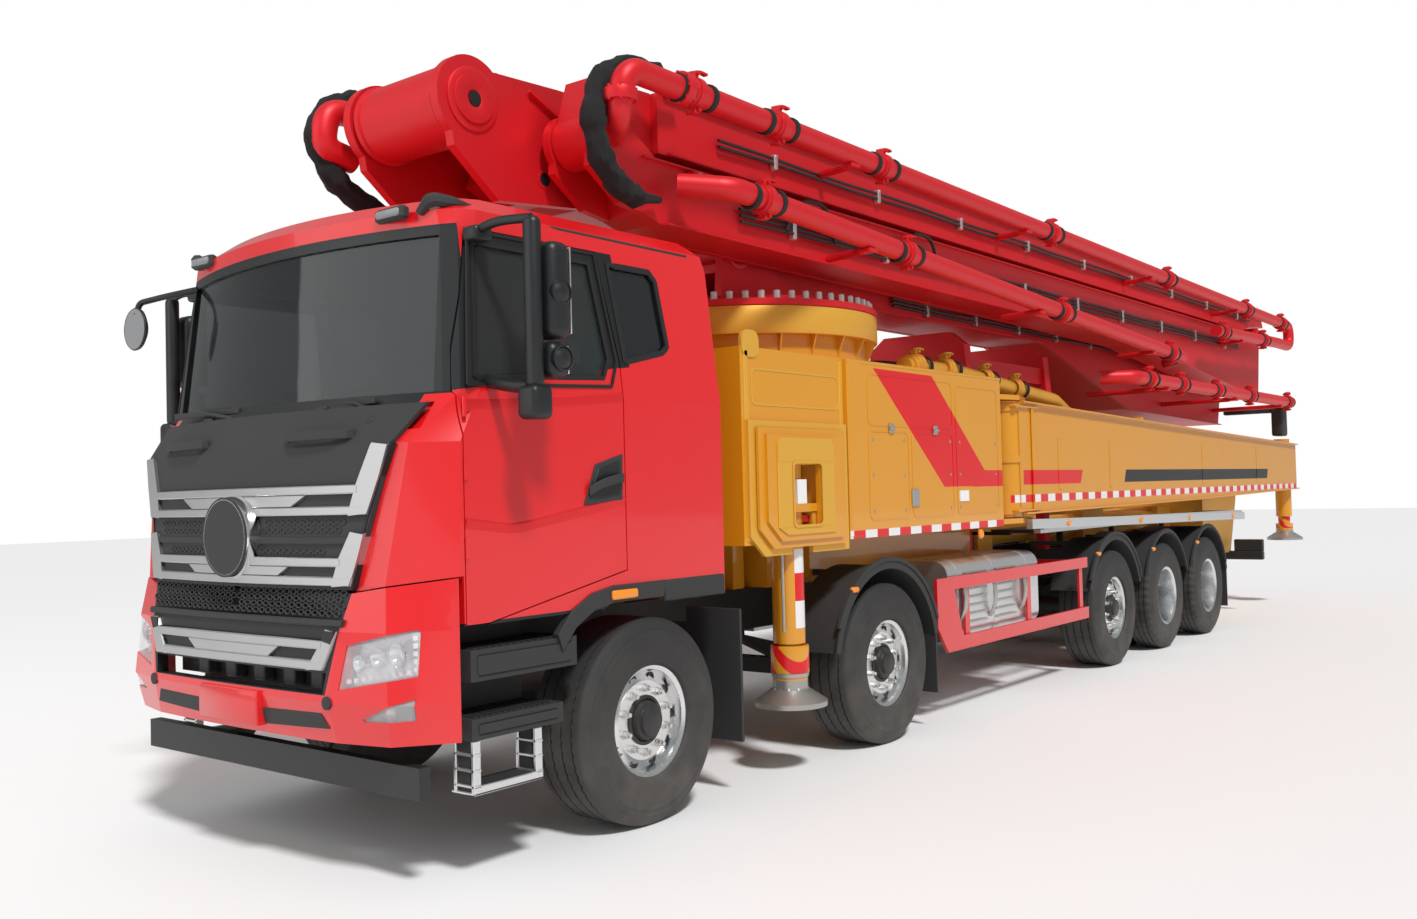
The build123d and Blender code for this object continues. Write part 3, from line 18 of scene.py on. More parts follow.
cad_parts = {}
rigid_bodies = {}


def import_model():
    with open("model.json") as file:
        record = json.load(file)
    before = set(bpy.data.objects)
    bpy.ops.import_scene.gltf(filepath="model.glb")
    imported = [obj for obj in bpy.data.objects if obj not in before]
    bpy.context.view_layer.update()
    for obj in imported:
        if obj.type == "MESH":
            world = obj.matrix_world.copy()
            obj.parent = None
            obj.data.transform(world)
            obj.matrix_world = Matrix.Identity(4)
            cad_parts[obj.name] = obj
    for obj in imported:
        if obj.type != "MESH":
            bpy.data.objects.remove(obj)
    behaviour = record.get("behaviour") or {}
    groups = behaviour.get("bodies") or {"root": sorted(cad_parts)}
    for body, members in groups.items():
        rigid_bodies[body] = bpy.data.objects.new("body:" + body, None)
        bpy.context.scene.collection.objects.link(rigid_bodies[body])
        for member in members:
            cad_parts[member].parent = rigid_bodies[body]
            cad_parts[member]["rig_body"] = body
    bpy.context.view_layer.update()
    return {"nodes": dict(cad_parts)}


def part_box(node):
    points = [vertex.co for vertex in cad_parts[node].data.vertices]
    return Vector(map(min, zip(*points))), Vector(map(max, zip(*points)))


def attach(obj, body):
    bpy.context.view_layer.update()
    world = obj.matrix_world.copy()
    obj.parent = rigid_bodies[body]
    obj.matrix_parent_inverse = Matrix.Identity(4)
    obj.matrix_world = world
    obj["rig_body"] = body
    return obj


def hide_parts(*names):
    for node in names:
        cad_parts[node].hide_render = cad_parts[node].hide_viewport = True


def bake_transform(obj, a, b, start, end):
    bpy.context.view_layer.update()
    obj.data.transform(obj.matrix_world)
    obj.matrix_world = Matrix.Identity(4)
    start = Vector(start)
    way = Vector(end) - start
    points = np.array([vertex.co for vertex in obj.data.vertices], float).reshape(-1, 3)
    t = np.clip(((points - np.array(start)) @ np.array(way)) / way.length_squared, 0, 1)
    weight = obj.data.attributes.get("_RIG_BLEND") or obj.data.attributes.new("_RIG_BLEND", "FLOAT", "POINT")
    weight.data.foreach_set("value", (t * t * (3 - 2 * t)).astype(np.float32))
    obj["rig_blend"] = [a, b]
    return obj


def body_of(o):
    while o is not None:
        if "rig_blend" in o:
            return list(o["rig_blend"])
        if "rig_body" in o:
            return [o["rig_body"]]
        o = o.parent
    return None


logging.basicConfig(level=logging.INFO, format="%(message)s")
LOG = logging.getLogger("truck")
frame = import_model()
Array = np.ndarray
Point = Sequence[float]


def middle(node: str) -> Array:
    """Middle of a node's box at rest."""
    low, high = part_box(node)
    return (np.array(low) + np.array(high)) / 2


AXLE_X = float(middle("wheel_1_left")[0])
# height of the axles, half width of the body, and the front legs' and the slewing ring's
# distance from the front axle
AXLE_Z, BODY_HALF, LEG_X, RING_X = .536, 1.24, -1.41, -2.5
SIDES = ((1, "left"), (-1, "right"))


# ------------------------------------------------------------------ shader expressions
def operation(kind: str, clamp: bool = False) -> Callable[..., "Sock"]:
    """Method of a shader value that adds a Math node.

    Args:
        kind: The node's operation.
        clamp: Whether the result is kept between 0 and 1.

    Returns:
        The method, which takes the other sockets or numbers.
    """
    def method(self: "Sock", *others: Any) -> "Sock":
        """Math node on this value and the others."""
        node = self.tree.nodes.new("ShaderNodeMath")
        node.operation, node.use_clamp = kind, clamp
        for slot, value in zip(node.inputs, (self, *others)):
            if isinstance(value, Sock):
                self.tree.links.new(value.out, slot)
            else:
                slot.default_value = value
        return Sock(self.tree, node.outputs[0])
    return method


class Sock:
    """A shader value that can be used in Python expressions."""

    __add__ = __radd__ = operation("ADD")
    __mul__ = __rmul__ = operation("MULTIPLY")
    __sub__ = operation("SUBTRACT")
    __truediv__ = operation("DIVIDE")
    __gt__ = operation("GREATER_THAN")
    __lt__ = operation("LESS_THAN")
    __abs__ = operation("ABSOLUTE")
    both = operation("MAXIMUM")
    fraction = operation("FRACT")
    held = operation("ADD", clamp=True)

    def __init__(self, tree: bpy.types.NodeTree, out: Any) -> None:
        """Wrap an output socket of a tree."""
        self.tree, self.out = tree, out

    def __rsub__(self, other: float) -> "Sock":
        """Number less this value."""
        return self * -1.0 + other

    def wave(self, per_metre: float) -> "Sock":
        """Saw from 0 to 1 that repeats along the value."""
        return (self * per_metre).fraction()

    def clip(self) -> "Sock":
        """Value kept between 0 and 1."""
        return self.held(0.0)


class Shader:
    """One material's node tree with short ways to add nodes."""

    def __init__(self, name: str) -> None:
        """Make a material with a Principled shader."""
        self.material = bpy.data.materials.new(name)
        self.material.use_nodes = True
        self.tree = self.material.node_tree
        self.tree.nodes.clear()
        self.bsdf = self.tree.nodes.new("ShaderNodeBsdfPrincipled")
        output = self.tree.nodes.new("ShaderNodeOutputMaterial")
        self.tree.links.new(self.bsdf.outputs[0], output.inputs[0])
        self.place = self.node("ShaderNodeTexCoord", {}, {}, "Object")
        self.x, self.y, self.z = self.parts(self.place)
        facing = self.node("ShaderNodeNewGeometry", {}, {}, "Normal")
        self.ny = self.parts(facing)[1]

    def parts(self, vector: Sock) -> tuple[Sock, ...]:
        """The three coordinates of a vector."""
        split = self.node("ShaderNodeSeparateXYZ", {}, {0: vector})
        return tuple(Sock(self.tree, out) for out in split.out.node.outputs)

    def node(self, kind: str, settings: dict[str, Any], inputs: dict[Any, Any],
             out: int | str = 0) -> Sock:
        """Add a node.

        Args:
            kind: The node's type.
            settings: Attributes set before its inputs.
            inputs: Values or sockets by input name or number.
            out: Which output to return.

        Returns:
            The chosen output.
        """
        made = self.tree.nodes.new(kind)
        for key, value in settings.items():
            if key == "stops":
                ramp = made.color_ramp
                while len(ramp.elements) < len(value):
                    ramp.elements.new(.5)
                for element, (at, colour) in zip(ramp.elements, value):
                    element.position = at
                    element.color = (*colour, 1.0)
            else:
                setattr(made, key, value)
        for key, value in inputs.items():
            if isinstance(value, Sock):
                self.tree.links.new(value.out, made.inputs[key])
            else:
                made.inputs[key].default_value = value
        return Sock(self.tree, made.outputs[out])

    def noise(self, scale: float, detail: float = 3.0, rough: float = .6,
              stretch: Point = (1, 1, 1)) -> Sock:
        """Noise value over object space, stretched along the axes.

        Args:
            scale: Waves to a metre.
            detail: Layers of finer noise.
            rough: Strength of the finer layers.
            stretch: Factor on the scale along each axis.

        Returns:
            A value about one half.
        """
        place = self.place
        if tuple(stretch) != (1, 1, 1):
            place = self.node("ShaderNodeMapping", {}, {0: self.place, 3: Vector(stretch)})
        return self.node("ShaderNodeTexNoise", {}, {"Vector": place, "Scale": scale,
                                                    "Detail": detail, "Roughness": rough})

    def mix(self, share: Any, first: Any, second: Any) -> Sock:
        """Colour between two colours.

        Args:
            share: Share of the second colour.
            first: A colour or a socket.
            second: A colour or a socket.

        Returns:
            The mixed colour.
        """
        def full(value: Any) -> Any:
            """Colour with its alpha, or the socket itself."""
            return value if isinstance(value, Sock) else (*value, 1.0)
        return self.node("ShaderNodeMix", {"data_type": "RGBA"},
                         {0: share, 6: full(first), 7: full(second)}, 2)

    def put(self, **values: Any) -> None:
        """Set or link the shader's own sockets, named with underscores for blanks."""
        for key, value in values.items():
            name = key.replace("_", " ")
            if isinstance(value, Sock):
                self.tree.links.new(value.out, self.bsdf.inputs[name])
            elif isinstance(value, tuple) and len(value) == 3 and name.endswith("Color"):
                self.bsdf.inputs[name].default_value = (*value, 1.0)
            else:
                self.bsdf.inputs[name].default_value = value

    def bump(self, height: Sock, strength: float, distance: float) -> None:
        """Raise the surface by a height value."""
        normal = self.node("ShaderNodeBump", {}, {"Strength": strength, "Distance": distance,
                                                  "Height": height})
        self.tree.links.new(normal.out, self.bsdf.inputs["Normal"])

    def inside(self, outline: Sequence[tuple[float, float]], across: Sock, up: Sock) -> Sock:
        """Mask of a convex outline given anticlockwise in two coordinates.

        Args:
            outline: Corners of a convex shape, anticlockwise.
            across: Coordinate that the first numbers are in.
            up: Coordinate that the second numbers are in.

        Returns:
            One inside the shape and zero outside.
        """
        mask = None
        for (x0, z0), (x1, z1) in zip(outline, (*outline[1:], outline[0])):
            side = (across - x0) * -(z1 - z0) + (up - z0) * (x1 - x0)
            step = side > 0.0
            mask = step if mask is None else mask * step
        return mask


# ------------------------------------------------------------------ finishes
@dataclass(frozen=True)
class Gloss:
    """Sprayed gloss paint with a clear coat, a faint orange peel and a little road dust."""

    name: str
    colour: tuple[float, float, float]
    shade: tuple[float, float, float]
    roughness: float = .28
    peel: float = .05

    def shader(self) -> Shader:
        """Shader of the plain finish."""
        made = Shader(self.name)
        cloud = made.noise(1.7)
        fine = made.noise(70.0, 2.0)
        low = (1.0 - made.z / 1.1).clip() * made.noise(5.0, 5.0) * .14
        colour = made.mix(cloud * .35, self.colour, self.shade)
        dusty = made.mix(low, colour, (.42, .36, .31))
        made.colour, made.coat = dusty, cloud * 0.0 + .6
        made.rough, made.metal = cloud * .08 + low * .5 + self.roughness, cloud * 0.0
        made.put(Base_Color=dusty, Roughness=made.rough, Coat_Weight=.6, Coat_Roughness=.06)
        made.bump(fine, self.peel, .0006)
        return made


@dataclass(frozen=True)
class Plain:
    """A one-colour technical finish: moulded plastic, satin paint, rubber or cast metal."""

    name: str
    colour: tuple[float, float, float]
    roughness: float
    metal: float = 0.0
    grain: float = 300.0
    depth: float = .0005
    strength: float = .15
    stretch: tuple[float, float, float] = (1, 1, 1)
    dust: float = .15

    def shader(self) -> Shader:
        """Shader of the plain finish."""
        made = Shader(self.name)
        grain = made.noise(self.grain, 3.0, .6, self.stretch)
        cloud = made.noise(6.0, 4.0)
        low = (1.0 - made.z / 1.2).clip() * cloud * self.dust
        lighter = tuple(min(1.0, c * 1.35 + .01) for c in self.colour)
        colour = made.mix(grain * .3 + cloud * .2, self.colour, lighter)
        made.colour = made.mix(low, colour, (.4, .36, .32))
        made.rough = grain * .12 + cloud * .08 + (self.roughness - .06)
        made.metal, made.coat = cloud * 0.0 + self.metal, cloud * 0.0
        made.put(Base_Color=made.colour, Roughness=made.rough, Metallic=self.metal)
        made.bump(grain, self.strength, self.depth)
        return made


@dataclass(frozen=True)
class Pane:
    """Tinted or clear glass with a faint film of dust."""

    name: str
    colour: tuple[float, float, float]
    alpha: float
    roughness: float = .03

    def shader(self) -> Shader:
        """Shader of the pane."""
        made = Shader(self.name)
        film = made.noise(4.0, 5.0)
        made.put(Base_Color=self.colour, Roughness=film * .04 + self.roughness,
                 Alpha=film * .06 + self.alpha, IOR=1.5, Specular_IOR_Level=.8)
        return made


class Finish(Enum):
    """Finishes of the truck."""

    CAB_RED = Gloss("cab_red", (.74, .006, .01), (.66, .004, .008))
    BOOM_RED = Gloss("boom_red", (.74, .005, .014), (.62, .003, .01), .3)
    YELLOW = Gloss("body_yellow", (.72, .305, .008), (.64, .262, .006), .32)
    BAND_RED = Gloss("band_red", (.7, .008, .012), (.6, .006, .01))
    BLACK_PLASTIC = Plain("black_plastic", (.008, .009, .01), .5, grain=900, depth=.0003)
    SATIN_BLACK = Plain("satin_black", (.007, .008, .009), .4, grain=120, strength=.06)
    CHASSIS = Plain("chassis_black", (.009, .009, .01), .55, grain=60, dust=.25)
    SEAL = Plain("seal_rubber", (.006, .006, .007), .62, grain=400)
    TYRE = Plain("tyre_rubber", (.013, .013, .014), .7, grain=260, strength=.25, dust=.3)
    RIM = Plain("polished_rim", (.72, .73, .74), .24, 1.0, grain=180, strength=.05,
                depth=.0002)
    BRUSHED = Plain("brushed_silver", (.5, .5, .5), .36, .9, grain=40,
                    stretch=(1, 1, 60), strength=.12, depth=.0003)
    CHROME = Plain("chrome", (.85, .86, .88), .08, 1.0, grain=30, strength=.01)
    STEEL = Plain("worn_steel", (.46, .45, .43), .42, .85, grain=90, strength=.2,
                  depth=.0006)
    BOLT = Plain("zinc_bolt", (.62, .62, .6), .34, .8, grain=300)
    ALUMINIUM = Plain("bright_aluminium", (.62, .63, .64), .34, .9, grain=150, depth=.0004)
    WHITE = Plain("reflective_white", (.8, .8, .8), .3, grain=600, depth=.0002)
    ORANGE = Plain("orange_lens", (.85, .26, .02), .18, grain=500, depth=.0002)
    SEAT = Plain("seat_cloth", (.1, .095, .09), .85, grain=1400, strength=.3)
    HOSE = Plain("hose_black", (.008, .008, .009), .48, grain=350)
    CLOTH = Plain("sleeve_cloth", (.008, .008, .009), .9, grain=900, strength=.4,
                  depth=.001)
    DARK_GLASS = Pane("dark_glass", (.008, .011, .012), .8)
    SCREEN_GLASS = Pane("screen_glass", (.008, .012, .014), .74)
    LENS = Pane("clear_lens", (.8, .83, .86), .3, .05)

    @property
    def material(self) -> bpy.types.Material:
        """The finish as a material, made once."""
        known = bpy.data.materials.get(self.value.name)
        return known or self.value.shader().material


# ------------------------------------------------------------------ mesh surfaces
def grid_faces(rows: int, columns: int, closed_columns: bool = False) -> Array:
    """Quads of a grid: each joins a point to the next along, across and diagonally.

    Args:
        rows: Number of rows of points.
        columns: Number of points in a row.
        closed_columns: Whether the last column joins the first.

    Returns:
        Point numbers, four to a face.
    """
    i, j = np.meshgrid(np.arange(rows - 1), np.arange(columns - (not closed_columns)),
                       indexing="ij")
    after = (j + 1) % columns
    return np.stack([i * columns + j, (i + 1) * columns + j, (i + 1) * columns + after,
                     i * columns + after], axis=-1).reshape(-1, 4)


@dataclass
class Mesh:
    """Points and faces gathered before they become one object."""

    points: list[Array] = field(default_factory=list)
    faces: list[list[int]] = field(default_factory=list)
    slots: list[int] = field(default_factory=list)
    count: int = 0

    def add(self, points: Array, faces: Sequence[Sequence[int]], slot: int = 0) -> "Mesh":
        """Append a patch of points and faces.

        Args:
            points: Coordinates, in threes.
            faces: Point numbers within this patch.
            slot: Material slot of the faces.

        Returns:
            The mesh itself.
        """
        start = self.count
        self.points.append(np.asarray(points, float).reshape(-1, 3))
        self.faces += [[int(v) + start for v in face] for face in faces]
        self.slots += [slot] * len(faces)
        self.count += len(self.points[-1])
        return self

    def grid(self, points: Array, closed_columns: bool = False, slot: int = 0) -> "Mesh":
        """Append a grid of points as quads, its last column joined to the first if closed."""
        rows, columns = points.shape[:2]
        return self.add(points, grid_faces(rows, columns, closed_columns), slot)

    def loops(self, points: Array, slot: int = 0) -> "Mesh":
        """Append closed loops as a skin, with the first and the last loop filled.

        Args:
            points: Loops by points by three coordinates.
            slot: Material slot of the faces.

        Returns:
            The mesh itself, as every method that adds to it does.
        """
        rows, columns = points.shape[:2]
        self.grid(points, closed_columns=True, slot=slot)
        start = self.count - rows * columns
        self.faces += [[at + k for k in range(columns)]
                       for at in (start, start + (rows - 1) * columns)]
        self.slots += [slot, slot]
        return self

    def block(self, low: Point, high: Point, slot: int = 0, cut: float = 0.0) -> "Mesh":
        """Box between two corners, its upright and level edges cut back by a chamfer.

        Each corner becomes three points, one moved in along each axis.

        Args:
            low: Corner with the smallest coordinates.
            high: Corner with the largest.
            slot: Material slot of the faces.
            cut: Width of the chamfer.

        Returns:
            The mesh itself.
        """
        low, high = np.array(low, float), np.array(high, float)
        if cut <= 0:
            x, y, z = (np.array([low[k], high[k]]) for k in range(3))
            p = np.array([[x[i], y[j], z[k]] for i in (0, 1) for j in (0, 1) for k in (0, 1)])
            return self.add(p, [[0, 1, 3, 2], [4, 6, 7, 5], [0, 4, 5, 1], [2, 3, 7, 6],
                                [0, 2, 6, 4], [1, 5, 7, 3]], slot)
        ring = [(-1, -1), (1, -1), (1, 1), (-1, 1)]
        layers = []
        half, mid = (high - low) / 2, (high + low) / 2
        for z, inset in ((-half[2], cut), (-half[2] + cut, 0.0), (half[2] - cut, 0.0),
                         (half[2], cut)):
            loop = []
            for sx, sy in ring:
                a, b = half[0] - inset, half[1] - inset
                if sx * sy > 0:
                    loop += [(sx * a, sy * (b - cut)), (sx * (a - cut), sy * b)]
                else:
                    loop += [(sx * (a - cut), sy * b), (sx * a, sy * (b - cut))]
            layers.append([(mid[0] + px, mid[1] + py, mid[2] + z) for px, py in loop])
        pts = np.array(layers)
        angle = np.arctan2(pts[1, :, 1] - mid[1], pts[1, :, 0] - mid[0])
        pts = pts[:, np.argsort(angle)]
        return self.loops(pts, slot)

    def slab(self, outline: Sequence[Point], axis: int, low: float, high: float,
             slot: int = 0) -> "Mesh":
        """Flat outline in the two other axes, given depth along one axis.

        Args:
            outline: Corners in the two other axes.
            axis: Axis of the depth.
            low: Where the depth starts.
            high: Where it ends.
            slot: Material slot of the faces.

        Returns:
            The mesh itself.
        """
        others = [k for k in range(3) if k != axis]
        flat = np.array(outline, float)
        layers = np.zeros((2, len(flat), 3))
        for side, at in enumerate((low, high)):
            layers[side, :, axis] = at
            layers[side, :, others[0]] = flat[:, 0]
            layers[side, :, others[1]] = flat[:, 1]
        return self.loops(layers, slot)

    def lathe(self, profile: Sequence[tuple[float, float]], centre: Point, axis: int,
              steps: int = 48, slot: int = 0, side: float = 1.0) -> "Mesh":
        """Profile turned a full turn about an axis through a point.

        Args:
            profile: Points as (radius, distance along the axis).
            centre: Point on the axis that the distances start at.
            axis: 0, 1 or 2 for X, Y or Z.
            steps: Number of points in a turn.
            slot: Material slot of the faces.
            side: -1 turns the distances round, for the right side of the vehicle.

        Returns:
            The mesh itself.
        """
        p = np.array(profile, float) * (1.0, side)
        turn = turns(steps)
        a, b = [k for k in range(3) if k != axis]
        pts = np.zeros((len(p), steps, 3))
        pts[..., a] = centre[a] + p[:, 0, None] * np.cos(turn)
        pts[..., b] = centre[b] + p[:, 0, None] * np.sin(turn)
        pts[..., axis] = centre[axis] + p[:, 1, None]
        return self.grid(pts, closed_columns=True, slot=slot)

    def tube(self, path: Array, radius: Any, steps: int = 14, slot: int = 0) -> "Mesh":
        """Round tube along a path: circles square to the path, turned without twist.

        Args:
            path: Points of the middle line.
            radius: One radius, or one for each point.
            steps: Points round the tube.
            slot: Material slot of the faces.

        Returns:
            The mesh itself.
        """
        path = np.asarray(path, float)
        n = len(path)
        tangent = np.gradient(path, axis=0)
        tangent /= np.linalg.norm(tangent, axis=1)[:, None] + 1e-12
        side = np.zeros((n, 3))
        seed = np.array([0.0, 0, 1]) if abs(tangent[0][2]) < .9 else np.array([0.0, 1, 0])
        for k in range(n):
            seed = seed - tangent[k] * (seed @ tangent[k])
            seed /= np.linalg.norm(seed) + 1e-12
            side[k] = seed
        other = np.cross(tangent, side)
        turn = turns(steps)
        r = np.broadcast_to(np.asarray(radius, float), (n,))
        pts = (path[:, None] + r[:, None, None] * (np.cos(turn)[None, :, None] * side[:, None]
                                                   + np.sin(turn)[None, :, None] * other[:, None]))
        return self.loops(pts, slot)

    def strip(self, path: Array, across: Array, width: float, height: float,
              slot: int = 0) -> "Mesh":
        """Flat bar along a path: a rectangle, wide along one direction, carried along it.

        Args:
            path: Points of the middle line.
            across: Direction of the width.
            width: Width of the bar.
            height: Its thickness.
            slot: Material slot of the faces.

        Returns:
            The mesh itself.
        """
        path = np.asarray(path, float)
        tangent = np.gradient(path, axis=0)
        tangent /= np.linalg.norm(tangent, axis=1)[:, None] + 1e-12
        a = np.broadcast_to(np.asarray(across, float), path.shape)
        a = a / (np.linalg.norm(a, axis=1)[:, None] + 1e-12)
        up = np.cross(tangent, a)
        corners = [(-.5, -.5), (.5, -.5), (.5, .5), (-.5, .5)]
        pts = np.stack([path + a * width * u + up * height * v for u, v in corners], axis=1)
        return self.loops(pts, slot)

    def pillow(self, low: Point, high: Point, radius: float, steps: int = 6,
               slot: int = 0) -> "Mesh":
        """Rounded box: a sphere of the corner radius, pulled apart to the box's size.

        Args:
            low: Corner with the smallest coordinates.
            high: Corner with the largest.
            radius: Radius of the edges.
            steps: Points to a quarter turn.
            slot: Material slot of the faces.

        Returns:
            The mesh itself.
        """
        low, high = np.array(low, float), np.array(high, float)
        half, mid = (high - low) / 2, (high + low) / 2
        r = min(radius, *(half * .999))
        lat = np.concatenate([np.linspace(-pi / 2, 0, steps), np.linspace(0, pi / 2, steps)])
        lon = np.concatenate([np.linspace(k * pi / 2, (k + 1) * pi / 2, steps) for k in range(4)])
        vs = np.repeat([-1, 1], steps)
        sx = np.repeat([1, -1, -1, 1], steps)
        sy = np.repeat([1, 1, -1, -1], steps)
        la, lo = np.meshgrid(lat, lon, indexing="ij")
        pts = np.stack([mid[0] + sx[None] * (half[0] - r) + r * np.cos(la) * np.cos(lo),
                        mid[1] + sy[None] * (half[1] - r) + r * np.cos(la) * np.sin(lo),
                        mid[2] + vs[:, None] * (half[2] - r) + r * np.sin(la)], axis=-1)
        return self.loops(pts, slot)

    def fin(self, outline: Sequence[Point], centre: Point, angle: float,
            half: float = .006) -> "Mesh":
        """Upright plate that stands outwards from an upright axis.

        Args:
            outline: Corners as (radius, height).
            centre: Point on the axis.
            angle: Direction of the plate, in radians.
            half: Half its thickness.

        Returns:
            The mesh itself.
        """
        c, s = cos(angle), sin(angle)
        flat = np.array([(centre[0] + r * c, centre[1] + r * s, z) for r, z in outline])
        off = np.array([-s, c, 0]) * half
        return self.loops(np.stack([flat - off, flat + off]))

    def piece(self, name: str, body: str, *finishes: Finish, smooth: float | None = 35.0,
              bevel: float = 0.0, replaces: Sequence[str] = (), slot: str = "") -> Any:
        """Make the object.

        Args:
            name: The piece's name.
            body: The body it rides on, or an empty name for one that is blended later.
            finishes: One finish for each slot.
            smooth: Angle in degrees under which edges shade smooth, or None for flat.
            bevel: Width of a bevel on its sharp edges, in metres.
            replaces: CAD nodes it stands for.
            slot: The record's material slot; not used.

        Returns:
            The object.
        """
        data = bpy.data.meshes.new(name)
        data.from_pydata(np.concatenate(self.points).tolist(), [], self.faces)
        data.polygons.foreach_set("material_index", np.array(self.slots, dtype=np.int32))
        data.validate()
        work = bmesh.new()
        work.from_mesh(data)
        bmesh.ops.remove_doubles(work, verts=work.verts, dist=1e-5)
        bmesh.ops.recalc_face_normals(work, faces=work.faces)
        work.to_mesh(data)
        work.free()
        made = bpy.data.objects.new(name, data)
        bpy.context.collection.objects.link(made)
        for finish in finishes:
            data.materials.append(finish if isinstance(finish, bpy.types.Material)
                                  else finish.material)
        if smooth is not None:
            data.shade_smooth()
            data.set_sharp_from_angle(angle=radians(smooth))
        if bevel > 0:
            mod = made.modifiers.new("edge", "BEVEL")
            mod.width, mod.segments, mod.limit_method = bevel, 2, "ANGLE"
            mod.angle_limit = radians(40)
            mod.harden_normals = False
        if body:
            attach(made, body)
        if replaces:
            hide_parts(*replaces)
        LOG.info("%s: %d faces on %s", name, len(data.polygons), body or "two bodies")
        return made


def run(*points: Point, bend: float = .08, steps: int = 6) -> Array:
    """Path through corner points, each corner rounded by a quadratic curve.

    Near a corner the path is (1-t)^2 a + 2t(1-t) corner + t^2 b, where a and b lie one bend
    length before and after it.

    Args:
        points: Corner points.
        bend: Length taken off each side of a corner.
        steps: Points to a bend.

    Returns:
        Points of the path.
    """
    pts = [np.array(p, float) for p in points]
    out = [pts[0]]
    for before, corner, after in zip(pts, pts[1:], pts[2:]):
        one, two = before - corner, after - corner
        reach = min(bend, .45 * np.linalg.norm(one), .45 * np.linalg.norm(two))
        a = corner + one / (np.linalg.norm(one) + 1e-9) * reach
        b = corner + two / (np.linalg.norm(two) + 1e-9) * reach
        t = np.linspace(0, 1, steps)[:, None]
        out += list((1 - t) ** 2 * a + 2 * t * (1 - t) * corner + t ** 2 * b)
    out.append(pts[-1])
    return np.array(out)


def sign(y: float) -> float:
    """Side of the vehicle: 1 on the left and -1 on the right."""
    return 1.0 if y > 0 else -1.0


def span(side: float, y0: float, y1: float) -> tuple[float, float]:
    """Two distances from the middle as depths on one side, in rising order."""
    low, high = sorted((side * y0, side * y1))
    return low, high


def turns(count: int, phase: float = 0.0) -> Array:
    """Even angles of a full turn in radians, the first one phase steps round."""
    return 2 * pi * (np.arange(count) + phase) / count


def placed(outline: Sequence[Point]) -> list[tuple[float, float]]:
    """Side outline (x, z) given from the front axle, moved into place."""
    return [(x + AXLE_X, z) for x, z in outline]


def ax(x: float, y: float = 0.0, z: float = 0.0) -> tuple[float, float, float]:
    """Point given from the front axle."""
    return (x + AXLE_X, y, z)


def rounded(low: Point, high: Point, radius: float, steps: int = 5) -> list[tuple[float, float]]:
    """Rectangle outline with rounded corners, in two coordinates.

    Args:
        low: Lower corner.
        high: Upper corner.
        radius: Radius of the corners.
        steps: Points to a corner.

    Returns:
        Corners, anticlockwise.
    """
    (x0, z0), (x1, z1) = low, high
    out = []
    for cx, cz, start in ((x1 - radius, z1 - radius, 0), (x0 + radius, z1 - radius, 90),
                          (x0 + radius, z0 + radius, 180), (x1 - radius, z0 + radius, 270)):
        for angle in np.radians(np.linspace(start, start + 90, steps)):
            out.append((cx + radius * cos(angle), cz + radius * sin(angle)))
    return out


# ------------------------------------------------------------------ zoned paint
Mask = Callable[[Shader], Sock]


def union(masks: Sequence[Sock]) -> Sock:
    """One mask that holds wherever any of several does."""
    total = masks[0]
    for mask in masks[1:]:
        total = total.both(mask)
    return total


def outline_mask(*outlines: Sequence[tuple[float, float]]) -> Mask:
    """Mask of convex outlines in the side view, (distance from the front axle, height)."""
    return lambda made: union([made.inside(outline, made.x - AXLE_X, made.z)
                               for outline in outlines])


def front_mask(low_x: float, *outlines: Sequence[tuple[float, float]]) -> Mask:
    """Mask of convex outlines in the front view, (distance from the middle, height).

    Args:
        low_x: Distance ahead of the front axle that the mask starts at.
        outlines: The outlines, for both sides alike.

    Returns:
        The mask.
    """
    return lambda made: union([made.inside(outline, abs(made.y), made.z)
                               for outline in outlines]) * (made.x - AXLE_X > low_x)


def band_mask(low: float, high: float) -> Mask:
    """Mask between two heights."""
    return lambda made: (made.z > low) * (made.z < high)


def leg_label(low: float, high: float) -> Mask:
    """Narrow upright label on the outer face of the front legs, between two heights."""
    return lambda made: band_mask(low, high)(made) * (abs(made.x - AXLE_X - LEG_X) < .05)


def chevrons(low: float, high: float) -> Mask:
    """Slanting warning stripes between two heights."""
    return lambda made: band_mask(low, high)(made) * (
        (made.z + made.y * .9 + made.x * .4).wave(9.0) > .5)


def dashes(low: float, high: float, step: float, out: float) -> tuple[Mask, Mask]:
    """White strip on the outer side, and its red dashes.

    Args:
        low: Height of its lower edge.
        high: Height of its upper edge.
        step: Length of a red and a white dash together.
        out: Distance from the middle that the side face lies beyond.

    Returns:
        Mask of the whole strip, and mask of every other dash.
    """
    def strip(made: Shader) -> Sock:
        """The whole strip."""
        return band_mask(low, high)(made) * (abs(made.y) > out) * (abs(made.ny) > .7)

    def red(made: Shader) -> Sock:
        """Every other dash."""
        return strip(made) * (made.x.wave(1 / step) > .5)
    return strip, red


